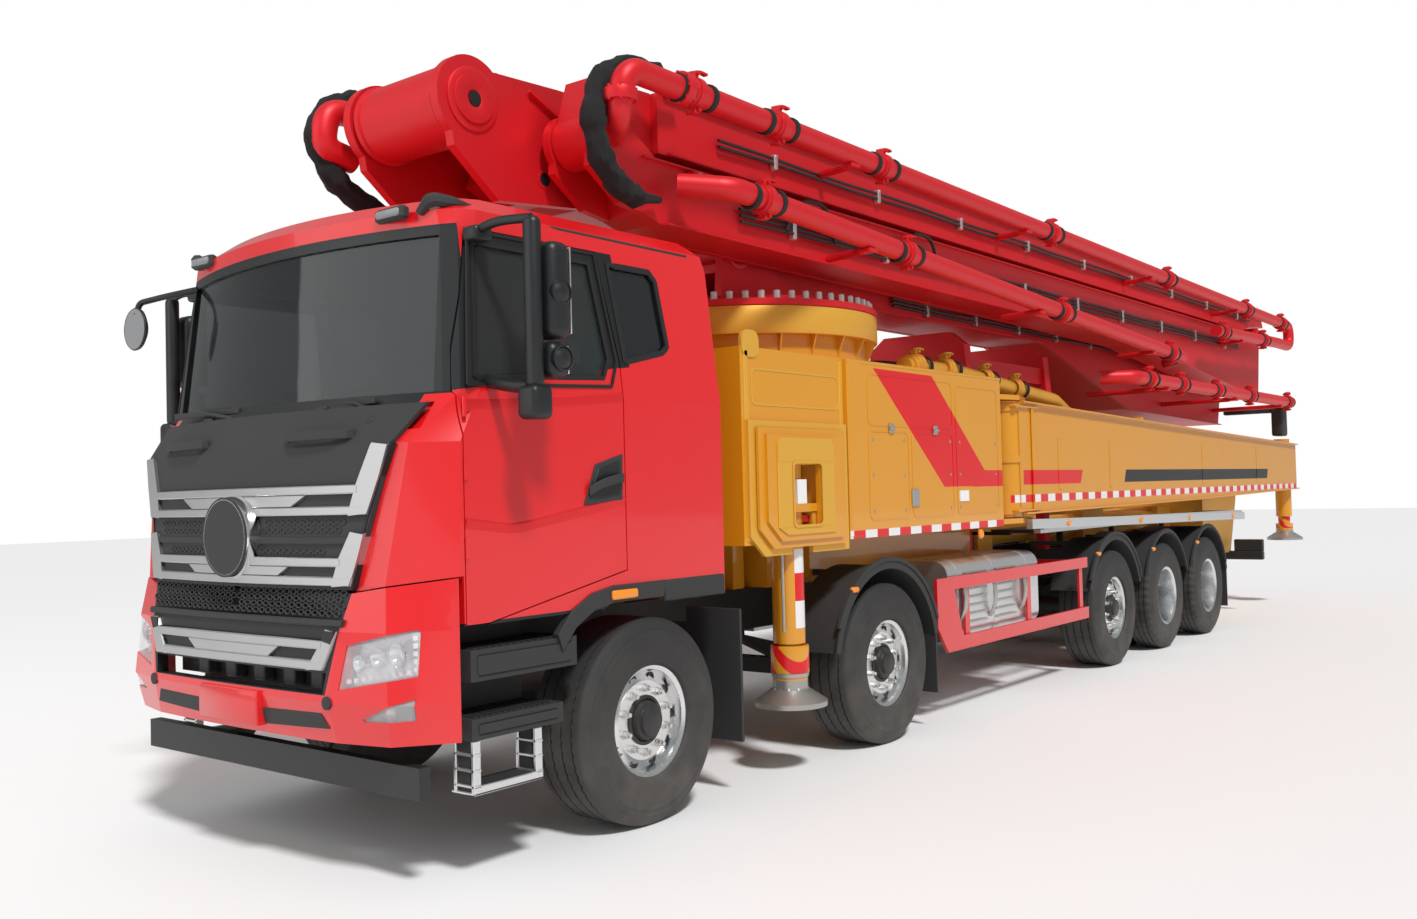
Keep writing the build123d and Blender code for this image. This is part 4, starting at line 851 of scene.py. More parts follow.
@dataclass(frozen=True)
class Zoned:
    """A paint with areas in other finishes, each a mask and a plain finish."""

    name: str
    base: Finish
    areas: tuple[tuple[Mask, Finish], ...]

    @property
    def material(self) -> bpy.types.Material:
        """The finish as a material, made once."""
        known = bpy.data.materials.get(self.name)
        if known:
            return known
        made = self.base.value.shader()
        made.material.name = self.name
        for mask, finish in self.areas:
            value, share = finish.value, mask(made)
            made.colour = made.mix(share, made.colour, value.colour)
            made.rough = made.rough * (1.0 - share) + share * value.roughness
            made.metal = made.metal * (1.0 - share) + share * getattr(value, "metal", 0.0)
            made.coat = made.coat * (1.0 - share)
        made.put(Base_Color=made.colour, Roughness=made.rough, Metallic=made.metal,
                 Coat_Weight=made.coat)
        return made.material


CABINET_DASHES = dashes(1.385, 1.442, .3, 1.2)
BEAM_DASHES = dashes(1.565, 1.628, .3, 1.1)
BEAM_STRIPES = (
    (outline_mask([(-4.66, 1.83), (-5.92, 1.83), (-5.86, 1.71), (-4.655, 1.71)]),
     Finish.BAND_RED),
    (outline_mask([(-7.0, 1.83), (-12.1, 1.83), (-12.05, 1.71), (-6.95, 1.71)]),
     Finish.SATIN_BLACK),
    (BEAM_DASHES[0], Finish.WHITE), (BEAM_DASHES[1], Finish.BAND_RED))
LEG_STRIPES = (
    (band_mask(.875, 1.357), Finish.WHITE), (band_mask(1.04, 1.21), Finish.BAND_RED),
    (chevrons(.6, .77), Finish.BAND_RED), (band_mask(0.0, .56), Finish.STEEL))


class CabPaint(Enum):
    """Zoned finishes of the CAD nodes."""

    OUTRIGGER = Zoned("outrigger_paint", Finish.YELLOW, (
        (leg_label(.875, 1.357), Finish.WHITE), (leg_label(1.04, 1.21), Finish.BAND_RED)))
    COLLAR = Zoned("collar_paint", Finish.YELLOW, (
        (lambda made: (made.z * .8 + made.y * .9 + made.x * .4).wave(7.0) > .5,
         Finish.BAND_RED),))
    SHELL = Zoned("cab_shell_paint", Finish.CAB_RED, (
        (front_mask(1.165, [(-.1, 2.19), (1.3, 2.19), (1.3, 2.975), (-.1, 2.975)],
                    [(-.1, 1.3), (.835, 1.3), (1.047, 1.968), (-.1, 1.968)],
                    [(-.1, 1.96), (1.02, 1.96), (1.05, 2.2), (-.1, 2.2)]),
         Finish.SATIN_BLACK),
        (outline_mask([(.39, 2.955), (.18, 2.955), (.12, 2.37), (.36, 2.34)]),
         Finish.SATIN_BLACK),
        (band_mask(1.0, 1.165), Finish.BLACK_PLASTIC)))
    DOOR = Zoned("door_paint", Finish.CAB_RED, (
        (outline_mask([(.15, 2.37), (1.33, 2.19), (1.33, 3.0), (.15, 3.0)]),
         Finish.SATIN_BLACK),))
    BUMPER = Zoned("bumper_paint", Finish.CAB_RED, (
        (front_mask(1.2, [(-.1, .862), (.735, .862), (.86, 1.36), (-.1, 1.36)]),
         Finish.BLACK_PLASTIC),))
    CABINET = Zoned("cabinet_paint", Finish.YELLOW, (
        (outline_mask([(-2.285, 2.516), (-3.1, 2.51), (-3.91, 1.83), (-4.05, 1.71),
                       (-3.25, 1.71)],
                      [(-3.85, 1.83), (-4.3, 1.83), (-4.3, 1.705), (-3.7, 1.705)]),
         Finish.BAND_RED),
        (CABINET_DASHES[0], Finish.WHITE), (CABINET_DASHES[1], Finish.BAND_RED)))
    BEAM = Zoned("rear_beam_paint", Finish.YELLOW, BEAM_STRIPES)
    LEG = Zoned("leg_paint", Finish.YELLOW, LEG_STRIPES)
    REAR_LEG = Zoned("rear_leg_paint", Finish.YELLOW, (
        (chevrons(1.02, 1.2), Finish.BAND_RED), (band_mask(0.0, .99), Finish.STEEL)))
    PEDESTAL = Zoned("pedestal_paint", Finish.YELLOW, (
        (band_mask(2.952, 3.2), Finish.BAND_RED),))
    DECK = Zoned("deck_finish", Finish.SATIN_BLACK, (
        (lambda made: (made.z > 1.2) * (abs(made.y) > 1.15) * (made.x < AXLE_X - 4.6),
         Finish.ALUMINIUM),))
    INTERIOR = Zoned("interior_finish", Finish.BLACK_PLASTIC, (
        (lambda made: (made.x < AXLE_X + .45) * (made.z > 1.5), Finish.SEAT),))

    @property
    def material(self) -> bpy.types.Material:
        """The finish as a material."""
        return self.value.material


NODE_FINISH: dict[str, Any] = {
    "arm": Finish.BOOM_RED, "pipe": Finish.BOOM_RED, "turret": Finish.BOOM_RED,
    "boom_rest": Finish.BOOM_RED, "axles": Finish.CHASSIS, "base_pipe": Finish.YELLOW,
    "cab_glass": Finish.SCREEN_GLASS, "cab_interior": CabPaint.INTERIOR,
    "cab_shell": CabPaint.SHELL, "cab_steps": Finish.BLACK_PLASTIC, "deck": CabPaint.DECK,
    "door_glass": Finish.DARK_GLASS, "door": CabPaint.DOOR, "engine_block": Finish.STEEL,
    "fenders": Finish.BLACK_PLASTIC, "frame": Finish.CHASSIS, "front_bumper": CabPaint.BUMPER,
    "front_foot": CabPaint.LEG, "front_lamps": Finish.LENS, "front_panel": Finish.BLACK_PLASTIC,
    "front_stage": Finish.YELLOW, "front_outrigger": CabPaint.OUTRIGGER, "knuckle": Finish.CHASSIS,
    "mirror": Finish.BLACK_PLASTIC, "pedestal": CabPaint.PEDESTAL, "pump_unit": Finish.YELLOW,
    "rear_foot": CabPaint.REAR_LEG, "rear_outrigger": CabPaint.BEAM,
    "side_cabinets": CabPaint.CABINET, "side_guards": Finish.BAND_RED,
    "tanks": Finish.ALUMINIUM, "wheel": Finish.TYRE,
}


def dress_frame() -> None:
    """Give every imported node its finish, by the longest name that starts its own."""
    for name, made in frame["nodes"].items():
        key = max((k for k in NODE_FINISH if name.startswith(k)), key=len)
        finish = NODE_FINISH[key]
        made.data.materials.clear()
        made.data.materials.append(finish.material)


def body(node: str) -> str:
    """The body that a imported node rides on."""
    return body_of(frame["nodes"][node])[0]


# ------------------------------------------------------------------ wheels
@dataclass
class Wheels:
    """Tyres with tread, polished rims, nuts and hubs."""

    rim: float = .286
    wide: float = .385
    twin: float = .3
    spacing: float = .34
    nuts: int = 10
    nut_circle: float = .1675
    holes: int = 10
    hole_circle: float = .226
    twin_hole_circle: float = .233
    steps: int = 180
    grooves: int = 4

    def tread(self, mesh: Mesh, centre: Array, width: float, lugs: bool) -> None:
        """Tyre surface: radius as a function of the way across and round.

        Across: bead, bulged side, shoulder, then a flat tread cut by grooves. Round: lug
        tyres lose depth at the shoulder in a square wave, road tyres have a fine zigzag.

        Args:
            mesh: The mesh that it is added to.
            centre: Middle of the tyre.
            width: Its width.
            lugs: Whether it is a driven axle's lug tyre.
        """
        half = width / 2
        across = [(self.rim, half - .028), (self.rim + .012, half - .012), (.33, half - .002),
                  (.372, half), (.376, half + .002), (.41, half + .0015),
                  (.445, half - .002), (.449, half), (.453, half - .003),
                  (.475, half - .007), (.479, half - .005), (.5, half - .016),
                  (.518, half - .024), (.53, half - .036), (.5345, half - .046)]
        top = []
        pitch = (width - .1) / self.grooves
        for k in range(self.grooves):
            y = half - .05 - pitch * (k + .5)
            top += [(.5355, y + .0065), (.522, y + .0045), (.522, y - .0045), (.5355, y - .0065)]
        profile = across + top + [(r, -y) for r, y in reversed(across)]
        p = np.array(profile)
        turn = turns(self.steps)
        r = np.repeat(p[:, :1], self.steps, axis=1)
        y = np.repeat(p[:, 1:], self.steps, axis=1)
        shoulder = (np.abs(p[:, 1]) > half - .055) & (p[:, 0] > .505)
        if lugs:
            cut = (np.floor(turn / (2 * pi) * 90 + .25) % 2 == 0) * .013
            r -= shoulder[:, None] * cut[None, :]
            r -= ((p[:, 0] > .533) & ~shoulder)[:, None] * cut[None, :] * .5
        else:
            zig = .004 * np.sign(np.sin(turn * 60))
            inner = (p[:, 0] > .52) & ~shoulder
            y += inner[:, None] * zig[None, :]
            r -= (shoulder & (p[:, 0] > .51))[:, None] * (.003 * (np.sin(turn * 90) > .5))[None]
        pts = np.stack([centre[0] + r * np.cos(turn), centre[1] + y, centre[2] + r * np.sin(turn)],
                       axis=-1)
        mesh.grid(pts, closed_columns=True)

    def fittings(self, mesh: Mesh, centre: Array, side: float, face: float) -> None:
        """Ring of wheel nuts with their studs, standing on the disc's face.

        Args:
            mesh: The mesh that they are added to.
            centre: Middle of the wheel.
            side: 1 on the left and -1 on the right.
            face: How far the disc's face is outwards of the middle.
        """
        for angle in turns(self.nuts, .5):
            at = (centre[0] + self.nut_circle * cos(angle), centre[1] + side * face,
                  centre[2] + self.nut_circle * sin(angle))
            mesh.lathe([(0, 0), (.024, 0), (.024, .005), (.019, .006), (.019, .028), (.013, .03),
                        (.012, .046), (0, .047)], at, 1, 6, 1, side=side)

    def single(self, name: str) -> None:
        """Wide wheel with a convex disc."""
        at = middle(name)
        s = sign(at[1])
        at[1] = s * (BODY_HALF - self.wide / 2)
        rubber = Mesh()
        self.tread(rubber, at, self.wide, name[6] in "45")
        rubber.piece(f"{name}_tyre", body(name), Finish.TYRE, replaces=[name])
        metal = Mesh()
        edge, inner = self.wide / 2 - .042, self.rim - .024
        metal.lathe([(inner - .002, -edge), (self.rim + .014, -edge),
                     (self.rim + .014, -(edge - .012)), (self.rim, -(edge - .02)),
                     (self.rim, edge - .02), (self.rim + .014, edge - .012),
                     (self.rim + .016, edge + .006), (self.rim + .006, edge + .01),
                     (inner + .004, edge - .004), (inner, edge - .016), (inner - .004, .1),
                     (inner - .008, .092), (.236, .094), (.212, .112), (.205, .118), (.118, .118),
                     (.112, .112), (.112, .02), (.2, .04), (inner, .03)], at, 1, 64, side=s)
        # Satin-black cups on the disc where its hand holes are: painted shade of the openings.
        for angle in turns(self.holes):
            hole = (at[0] + self.hole_circle * cos(angle), at[1] + s * .1035,
                    at[2] + self.hole_circle * sin(angle))
            metal.lathe([(0, -.004), (.02, -.004), (.022, .002), (.026, .002), (.026, -.01)],
                        hole, 1, 16, 2, side=s)
        self.fittings(metal, at, s, .118)
        metal.lathe([(.112, .1), (.106, .128), (.096, .15), (.082, .153), (.08, .156),
                     (.076, .174), (.07, .178), (0, .18)], at, 1, 40, 2, side=s)
        metal.lathe([(.13, .119), (.13, .124), (.112, .127), (.108, .1)], at, 1, 40, 2, side=s)
        metal.piece(f"{name}_rim", body(name), Finish.RIM, Finish.BOLT, Finish.SATIN_BLACK)

    def double(self, name: str) -> None:
        """Twin wheels back to back with a deep dished outer rim."""
        at = middle(name)
        s = sign(at[1])
        at[1] = s * (BODY_HALF - self.twin / 2 - self.spacing / 2)
        rubber, metal = Mesh(), Mesh()
        inner, edge = self.rim - .024, self.twin / 2 - .022
        for side in (-1, 1):
            spot = at + np.array([0, side * self.spacing / 2, 0])
            self.tread(rubber, spot, self.twin, True)
            metal.lathe([(inner - .012, -edge), (self.rim + .014, -edge),
                         (self.rim + .014, -edge + .012), (self.rim, -edge + .02),
                         (self.rim, edge - .02), (self.rim + .014, edge - .012),
                         (self.rim + .015, edge + .004), (self.rim + .004, edge + .008),
                         (inner + .004, edge - .004), (inner, edge - .02), (inner - .006, 0.0),
                         (inner - .012, -edge)], spot, 1, 64)
        metal.lathe([(.1, .024), (.205, .024), (.228, .02), (inner, -.035),
                     (inner, -.06), (.1, -.03)], at, 1, 64, side=s)
        # Satin-black cups on the disc where its hand holes are: painted shade of the openings.
        for angle in turns(self.holes):
            hole = (at[0] + self.twin_hole_circle * cos(angle), at[1] + s * .014,
                    at[2] + self.twin_hole_circle * sin(angle))
            metal.lathe([(0, .002), (.022, .003), (.026, .003), (.026, -.02)],
                        hole, 1, 14, 2, side=s)
        self.fittings(metal, at, s, .024)
        metal.lathe([(.205, -.12), (.205, -.03), (.124, -.02), (.124, .085),
                     (.112, .108), (0, .112)], at, 1, 40, 2, side=s)
        rubber.piece(f"{name}_tyres", body(name), Finish.TYRE, replaces=[name])
        metal.piece(f"{name}_rims", body(name), Finish.RIM, Finish.BOLT, Finish.SATIN_BLACK)

    def build(self) -> None:
        """Every wheel of the five axles."""
        for axle in range(1, 6):
            for side in ("left", "right"):
                name = f"wheel_{axle}_{side}"
                (self.double if axle > 3 else self.single)(name)


# ------------------------------------------------------------------ front of the cab
@dataclass(frozen=True)
class Trim:
    """One silver frame: heights of its bars and tips, and half widths of its parts."""

    foot: float
    bar: float
    foot_half: float
    bar_half: float
    tip_half: float
    tip: float
    wedge: float
    web_top_half: float
    web_foot_half: float
    width: float = .042
    proud: float = .017


@dataclass
class FrontEnd:
    """Trims, roundel, honeycomb, lamps, handles and wipers of the cab's front."""

    panel: tuple[tuple[float, float, float, float], ...] = (
        (1.325, 1.62, 1.567, .848), (1.97, 1.573, 1.493, 1.047), (2.15, 1.492, 1.344, 1.117))
    bumper: tuple[tuple[float, float, float, float], ...] = (
        (.62, 1.62, 1.595, .77), (.83, 1.656, 1.637, .749), (1.143, 1.63, 1.606, .802),
        (1.391, 1.59, 1.55, .84))
    upper_trim: Trim = Trim(1.655, 1.793, .935, .873, 1.045, 1.968, .095, .53, .437)
    lower_trim: Trim = Trim(1.34, 1.468, .85, .785, .925, 1.576, .082, .43, .365)
    bumper_trim: Trim = Trim(.971, 1.105, .722, .711, .801, 1.146, .07, .39, .32)
    honeycomb: float = .052

    def face_x(self, y: Array, z: Array, rows: Sequence[tuple[float, ...]]) -> Array:
        """Depth of the bowed front: parabola from the middle to the edge, sizes by height.

        Args:
            y: Distance from the middle.
            z: Height.
            rows: Sections as (height, depth in the middle, depth at the edge, half width).

        Returns:
            Depth in the part's frame.
        """
        table = np.array(rows)
        mid, edge, half = (np.interp(z, table[:, 0], table[:, k]) for k in (1, 2, 3))
        return mid - (mid - edge) * (y / half) ** 2 + AXLE_X

    def ribbon(self, mesh: Mesh, low: Sequence[Point], high: Sequence[Point], proud: float,
               rows: Sequence[tuple[float, ...]], depth: float = .03, slot: int = 0) -> None:
        """Raised band on the front between two lines of (y, z), with returned edges.

        The band's four lines are the low back, low front, high front and high back.

        Args:
            mesh: What it is added to.
            low: Lower line.
            high: Upper line.
            proud: Height over the face.
            rows: Sections of the face that it stands on.
            depth: How far it goes behind the face.
            slot: Material slot of the faces.
        """
        t = np.linspace(0, 1, 25)
        lo, hi = (np.array(line, float) for line in (low, high))
        u = np.linspace(0, 1, len(lo))
        lo = np.stack([np.interp(t, u, lo[:, k]) for k in (0, 1)], axis=1)
        hi = np.stack([np.interp(t, u, hi[:, k]) for k in (0, 1)], axis=1)
        rim = .006 * np.sign(hi[:, 1] - lo[:, 1] + 1e-9)
        lines = []
        for line, shift, out in ((lo, 0, -depth), (lo, 0, proud - .005), (lo, 1, proud),
                                 (hi, -1, proud), (hi, 0, proud - .005), (hi, 0, -depth)):
            y, z = line[:, 0], line[:, 1] + shift * rim
            lines.append(np.stack([self.face_x(y, z, rows) + out, y, z], axis=1))
        mesh.loops(np.stack(lines, axis=1), slot)

    def trim(self, mesh: Mesh, t: Trim, rows: Sequence[tuple[float, ...]]) -> None:
        """Silver frame: two bars, a middle web and an upturned wedge at each end.

        Args:
            mesh: The mesh that it is added to.
            t: Its sizes.
            rows: Sections of the face that it stands on.
        """
        low, high = t.foot + t.width, t.bar - t.width
        rise, spread = t.tip - t.foot, t.tip_half - t.foot_half
        self.ribbon(mesh, [(-t.foot_half, t.foot), (t.foot_half, t.foot)],
                    [(-t.foot_half - .012, low), (t.foot_half + .012, low)], t.proud, rows)
        self.ribbon(mesh, [(-t.bar_half, high), (t.bar_half, high)],
                    [(-t.bar_half, t.bar), (t.bar_half, t.bar)], t.proud + .001, rows)
        self.ribbon(mesh, [(-t.web_foot_half, low - .002), (t.web_foot_half, low - .002)],
                    [(-t.web_top_half, high + .002), (t.web_top_half, high + .002)],
                    t.proud - .001, rows)
        for side in (-1, 1):
            outer = [(side * t.foot_half, t.foot),
                     (side * (t.foot_half + .6 * spread), t.foot + .55 * rise),
                     (side * t.tip_half, t.tip)]
            inner = [(side * (t.foot_half - .11), t.foot + .004),
                     (side * (t.bar_half - .008), t.bar - .01),
                     (side * (t.tip_half - t.wedge), t.tip)]
            self.ribbon(mesh, inner, outer, t.proud - .0005, rows)

    def mesh_band(self, mesh: Mesh, y0: float, y1: float, z0: float, z1: float,
                  rows: Sequence[tuple[float, ...]], proud: float) -> None:
        """Honeycomb: six-sided rings on a staggered grid over the bowed front.

        Args:
            mesh: What it is added to.
            y0: Inner end, from the middle.
            y1: Outer end.
            z0: Lower edge.
            z1: Upper edge.
            rows: Sections of the face that it stands on.
            proud: Height over the face.
        """
        r = self.honeycomb / 2
        count = int((y1 - y0) / (self.honeycomb * .95))
        levels = max(1, round((z1 - z0) / (self.honeycomb * .62)))
        angle = turns(6)
        for side in (-1, 1):
            for j in range(levels):
                z = z0 + (z1 - z0) * (j + .5) / levels
                for k in range(count):
                    y = side * (y0 + (k + .5 + .5 * (j % 2)) * (y1 - y0) / (count + .5))
                    loops = []
                    for size, out in ((.98, -.004), (.96, proud), (.66, proud), (.6, -.012)):
                        py = y + r * size * np.cos(angle)
                        pz = z + r * size * .62 * np.sin(angle)
                        loops.append(np.stack([self.face_x(py, pz, rows) + out, py, pz], axis=1))
                    mesh.grid(np.stack(loops), closed_columns=True)

    def build_grille(self) -> None:
        """Trims, honeycomb, roundel and handles that open with the front panel."""
        silver = Mesh()
        self.trim(silver, self.upper_trim, self.panel)
        self.trim(silver, self.lower_trim, self.panel)
        silver.piece("front_trims", "front_panel", Finish.BRUSHED)
        comb = Mesh()
        self.mesh_band(comb, .2, .8, 1.572, 1.643, self.panel, .004)
        self.mesh_band(comb, .2, .7, 1.478, 1.512, self.panel, .004)
        self.ribbon(comb, [(-.86, 1.525), (.86, 1.525)], [(-.87, 1.558), (.87, 1.558)], .012,
                    self.panel)
        comb.piece("front_honeycomb", "front_panel", Finish.BLACK_PLASTIC)
        centre = ax(0, 0, 1.56)
        ring = Mesh()
        ring.lathe([(0, 1.65), (.15, 1.65), (.156, 1.655)], centre, 0, 64, 1)
        ring.lathe([(.15, 1.645), (.152, 1.668), (.16, 1.675), (.18, 1.676), (.19, 1.668),
                    (.196, 1.645), (.196, 1.6)], centre, 0, 64, 0)
        ring.lathe([(0, 1.652), (.15, 1.652)], centre, 0, 48, 1)
        ring.lathe([(.062, 1.65), (.066, 1.662), (.078, 1.662), (.082, 1.65)], centre, 0, 48, 0)
        ring.piece("front_roundel", "front_panel", Finish.CHROME, Finish.BLACK_PLASTIC)
        grip = Mesh()
        for side in (-1, 1):
            y = np.array([.36, .37, .42, .55, .7, .78, .79])
            out = np.array([0, .03, .05, .052, .05, .03, 0])
            z = np.full(7, 2.022)
            x = self.face_x(y, z, self.panel) + out
            grip.strip(np.stack([x, side * y, z], axis=1), (0, 0, 1), .045, .018)
        grip.piece("front_grips", "front_panel", Finish.BLACK_PLASTIC, bevel=.004)
        seam = Mesh()
        for side in (-1, 1):
            edge = [(.855, 1.335), (.93, 1.646), (1.052, 1.966)]
            self.ribbon(seam, [(side * (y - .006), z) for y, z in edge],
                        [(side * (y + .004), z) for y, z in edge], .004, self.panel)
        seam.piece("front_edges", "front_panel", Finish.SEAL)

    def build_bumper(self) -> None:
        """Low trim, honeycomb band, inserts, sensors and the blank plate."""
        silver = Mesh()
        self.trim(silver, self.bumper_trim, self.bumper)
        silver.piece("bumper_trim", "root", Finish.BRUSHED)
        comb = Mesh()
        self.mesh_band(comb, 0, .83, 1.205, 1.325, self.bumper, .006)
        self.ribbon(comb, [(-.83, 1.165), (.83, 1.165)], [(-.835, 1.195), (.835, 1.195)], .016,
                    self.bumper)
        for side in (-1, 1):
            self.ribbon(comb, [(side * .26, .695), (side * .74, .712)],
                        [(side * .26, .775), (side * .7, .784)], .002, self.bumper)
            y, z = .75, .83
            x = float(self.face_x(np.array(y), np.array(z), self.bumper)) - AXLE_X
            comb.lathe([(.03, -.01), (.03, .004), (.024, .006), (0, .005)],
                       ax(x, side * y, z), 0, 20)
        comb.piece("bumper_grille", "root", Finish.BLACK_PLASTIC)
        back = Mesh()
        for y in (-.45, -.2, .05, .3, .52):
            back.block(ax(1.5, y, .872), ax(1.56, y + .09, .955), cut=.006)
        back.block(ax(1.44, -.72, .86), ax(1.5, .72, .97))
        back.block(ax(1.27, -.78, .74), ax(1.3, .78, 1.04))
        back.piece("bumper_mouth", "root", Finish.CHASSIS)
        plate = Mesh()
        plate.pillow(ax(1.66, -.25, .692), ax(1.674, .25, .844), .006, 3)
        plate.piece("front_plate", "root", Finish.BAND_RED)

    def build_lamps(self) -> None:
        """Headlamp optics behind their lens: bright bowls, tubes and square diodes."""
        bowl = Mesh()
        for cy, cz, r in ((1.08, 1.045, .055), (.985, 1.03, .048), (.895, 1.005, .04)):
            for side in (-1, 1):
                x = 1.555 - (cy - .85) * .36
                at = ax(x, side * cy, cz)
                bowl.lathe([(r, .03), (r * .98, .025), (r * .6, -.01), (r * .34, -.02),
                            (0, -.022)], at, 0, 28)
                bowl.lathe([(r * .34, -.018), (r * .3, .005), (0, .012)], at, 0, 20, 1)
        for side in (-1, 1):
            bowl.add(np.array([ax(1.545, side * .83, .9), ax(1.4, side * 1.145, .955),
                               ax(1.4, side * 1.145, 1.145), ax(1.52, side * .86, 1.08)]),
                     [[0, 1, 2, 3]], 2)
            for k in range(9):
                y = .84 + k * .034
                x = 1.6 - (y - .8) * .42
                bowl.block(ax(x - .01, side * y - .009, .915 + k * .0055),
                           ax(x + .004, side * y + .009, .934 + k * .0055), 1)
            for k in range(5):
                bowl.block(ax(1.438, side * 1.132 - .008, .97 + k * .034),
                           ax(1.452, side * 1.132 + .008, .99 + k * .034), 1)
            bowl.lathe([(.034, .02), (.03, .012), (.014, -.01), (0, -.012)],
                       ax(1.5, side * 1.05, .79), 0, 24)
        bowl.piece("lamp_optics", "root", Finish.CHROME, Finish.WHITE, Finish.RIM)

    def build_wipers(self) -> None:
        """Two wiper arms with their blades, parked low on the windscreen."""
        arms = Mesh()
        for pivot, elbow, tip in (((1.43, .847, 2.075), (1.4, .707, 2.165), (1.395, .455, 2.185)),
                                  ((1.49, -.09, 2.05), (1.475, -.248, 2.15),
                                   (1.44, -.6, 2.2))):
            arms.tube(run(ax(*pivot), ax(*elbow), ax(*tip), bend=.06), .011, 8)
            arms.lathe([(.032, -.02), (.032, .012), (.02, .02), (0, .021)], ax(*pivot), 2, 16)
            blade = np.linspace(ax(tip[0], tip[1] + .36, tip[2] - .01),
                                ax(tip[0] - .05, tip[1] - .36, tip[2]), 5)
            arms.strip(blade, (0, 0, 1), .03, .014)
        arms.piece("wipers", "root", Finish.BLACK_PLASTIC, bevel=.003)

    def build_roof(self) -> None:
        """Marker lamps and black corner deflectors with their rain strips."""
        lamp, strip = Mesh(), Mesh()
        for side in (-1, 1):
            lamp.pillow(ax(1.275, side * .82 - .085, 3.022), ax(1.325, side * .82 + .085, 3.062),
                        .016, 4)
            strip.block(ax(1.262, side * .82 - .105, 3.008), ax(1.312, side * .82 + .105, 3.072),
                        cut=.012)
            path = run(ax(1.235, side * .955, 3.035), ax(1.225, side * 1.02, 3.095),
                       ax(1.1, side * 1.095, 3.075), ax(.55, side * 1.15, 3.035),
                       ax(-.45, side * 1.152, 3.03), bend=.05)
            width = np.interp(np.linspace(0, 1, len(path)), [0, .15, .35, .6, 1],
                              [.02, .034, .03, .01, .008])
            strip.tube(path, width, 8)
        lamp.piece("marker_lamps", "root", Finish.LENS)
        strip.piece("roof_strips", "root", Finish.BLACK_PLASTIC)

    def build(self) -> None:
        """Everything on the cab's front."""
        self.build_grille()
        self.build_bumper()
        self.build_lamps()
        self.build_wipers()
        self.build_roof()


# ------------------------------------------------------------------ studio
@dataclass
class Studio:
    """Camera, floor and soft light. The place is given from the front axle."""

    place: tuple[float, float, float] = (4.865, 5.497, 1.719)
    yaw: float = 218.44
    pitch: float = 1.49
    roll: float = -1.47
    sensor: float = 36.0
    focal: float = 31.454905
    floor: float = 60.0
    shade: float = .34
    # name, kind, energy, place, aim, angle or size
    lamps: tuple[tuple[Any, ...], ...] = (
        ("sun", "SUN", 2.6, (3, 13, 20), (-4, 0, 1), 8),
        ("front_fill", "AREA", 520, (12, -5, 7), (0, 0, 1.5), 12))

    def build_camera(self) -> None:
        """Camera from its heading, pitch and roll: columns are right, up and backwards."""
        yaw, pitch, roll = (radians(v) for v in (self.yaw, self.pitch, self.roll))
        ahead = Vector((cos(yaw) * cos(pitch), sin(yaw) * cos(pitch), sin(pitch)))
        right = ahead.cross(Vector((0, 0, 1))).normalized()
        up = right.cross(ahead)
        across = right * cos(roll) + up * sin(roll)
        above = up * cos(roll) - right * sin(roll)
        camera = bpy.data.objects.new("camera", bpy.data.cameras.new("camera"))
        bpy.context.collection.objects.link(camera)
        turn = Matrix((across, above, -ahead)).transposed().to_4x4()
        camera.matrix_world = Matrix.Translation(ax(*self.place)) @ turn
        camera.data.lens, camera.data.sensor_width = self.focal, self.sensor
        camera.data.clip_end = 300
        bpy.context.scene.camera = camera

    def build_floor(self) -> None:
        """Wide pale floor."""
        data = bpy.data.meshes.new("studio_floor")
        s = self.floor
        data.from_pydata([(-s, -s, -.002), (s, -s, -.002), (s, s, -.002), (-s, s, -.002)], [],
                         [(0, 1, 2, 3)])
        floor = bpy.data.objects.new("studio_floor", data)
        bpy.context.collection.objects.link(floor)
        made = Shader("pale_floor")
        made.put(Base_Color=(.9, .9, .9), Roughness=.75)
        data.materials.append(made.material)

    def lamp(self, name: str, kind: str, energy: float, place: Point, aim: Point,
             size: float) -> None:
        """One lamp aimed at a point.

        Args:
            name: Its name.
            kind: SUN or AREA.
            energy: Its strength.
            place: Where it is.
            aim: Point that it shines at.
            size: Side of the square in metres, or the angle of the sun in degrees.
        """
        data = bpy.data.lights.new(name, kind)
        data.energy = energy
        if kind == "AREA":
            data.shape, data.size = "SQUARE", size
        else:
            data.angle = radians(size)
        lamp = bpy.data.objects.new(name, data)
        bpy.context.collection.objects.link(lamp)
        lamp.location = place
        lamp.rotation_euler = (Vector(aim) - Vector(place)).to_track_quat("-Z", "Y").to_euler()

    def build(self) -> None:
        """The whole studio."""
        self.build_camera()
        self.build_floor()
        world = bpy.data.worlds.new("studio_sky")
        world.use_nodes = True
        bpy.context.scene.world = world
        tree = world.node_tree
        back = tree.nodes["Background"]
        path = tree.nodes.new("ShaderNodeLightPath")
        seen = Sock(tree, path.outputs["Is Camera Ray"]).both(
            Sock(tree, path.outputs["Is Transmission Ray"]))
        shiny = Sock(tree, path.outputs["Is Glossy Ray"])
        soft = Sock(tree, path.outputs["Is Diffuse Ray"])
        level = seen.both(shiny * self.shade).both(soft * self.shade)
        tree.links.new(level.out, back.inputs["Strength"])
        back.inputs["Color"].default_value = (1, 1, 1, 1)
        for name, kind, energy, spot, aim, size in self.lamps:
            self.lamp(name, kind, energy, ax(*spot), ax(*aim), size)
        bpy.context.scene.view_settings.view_transform = "Standard"


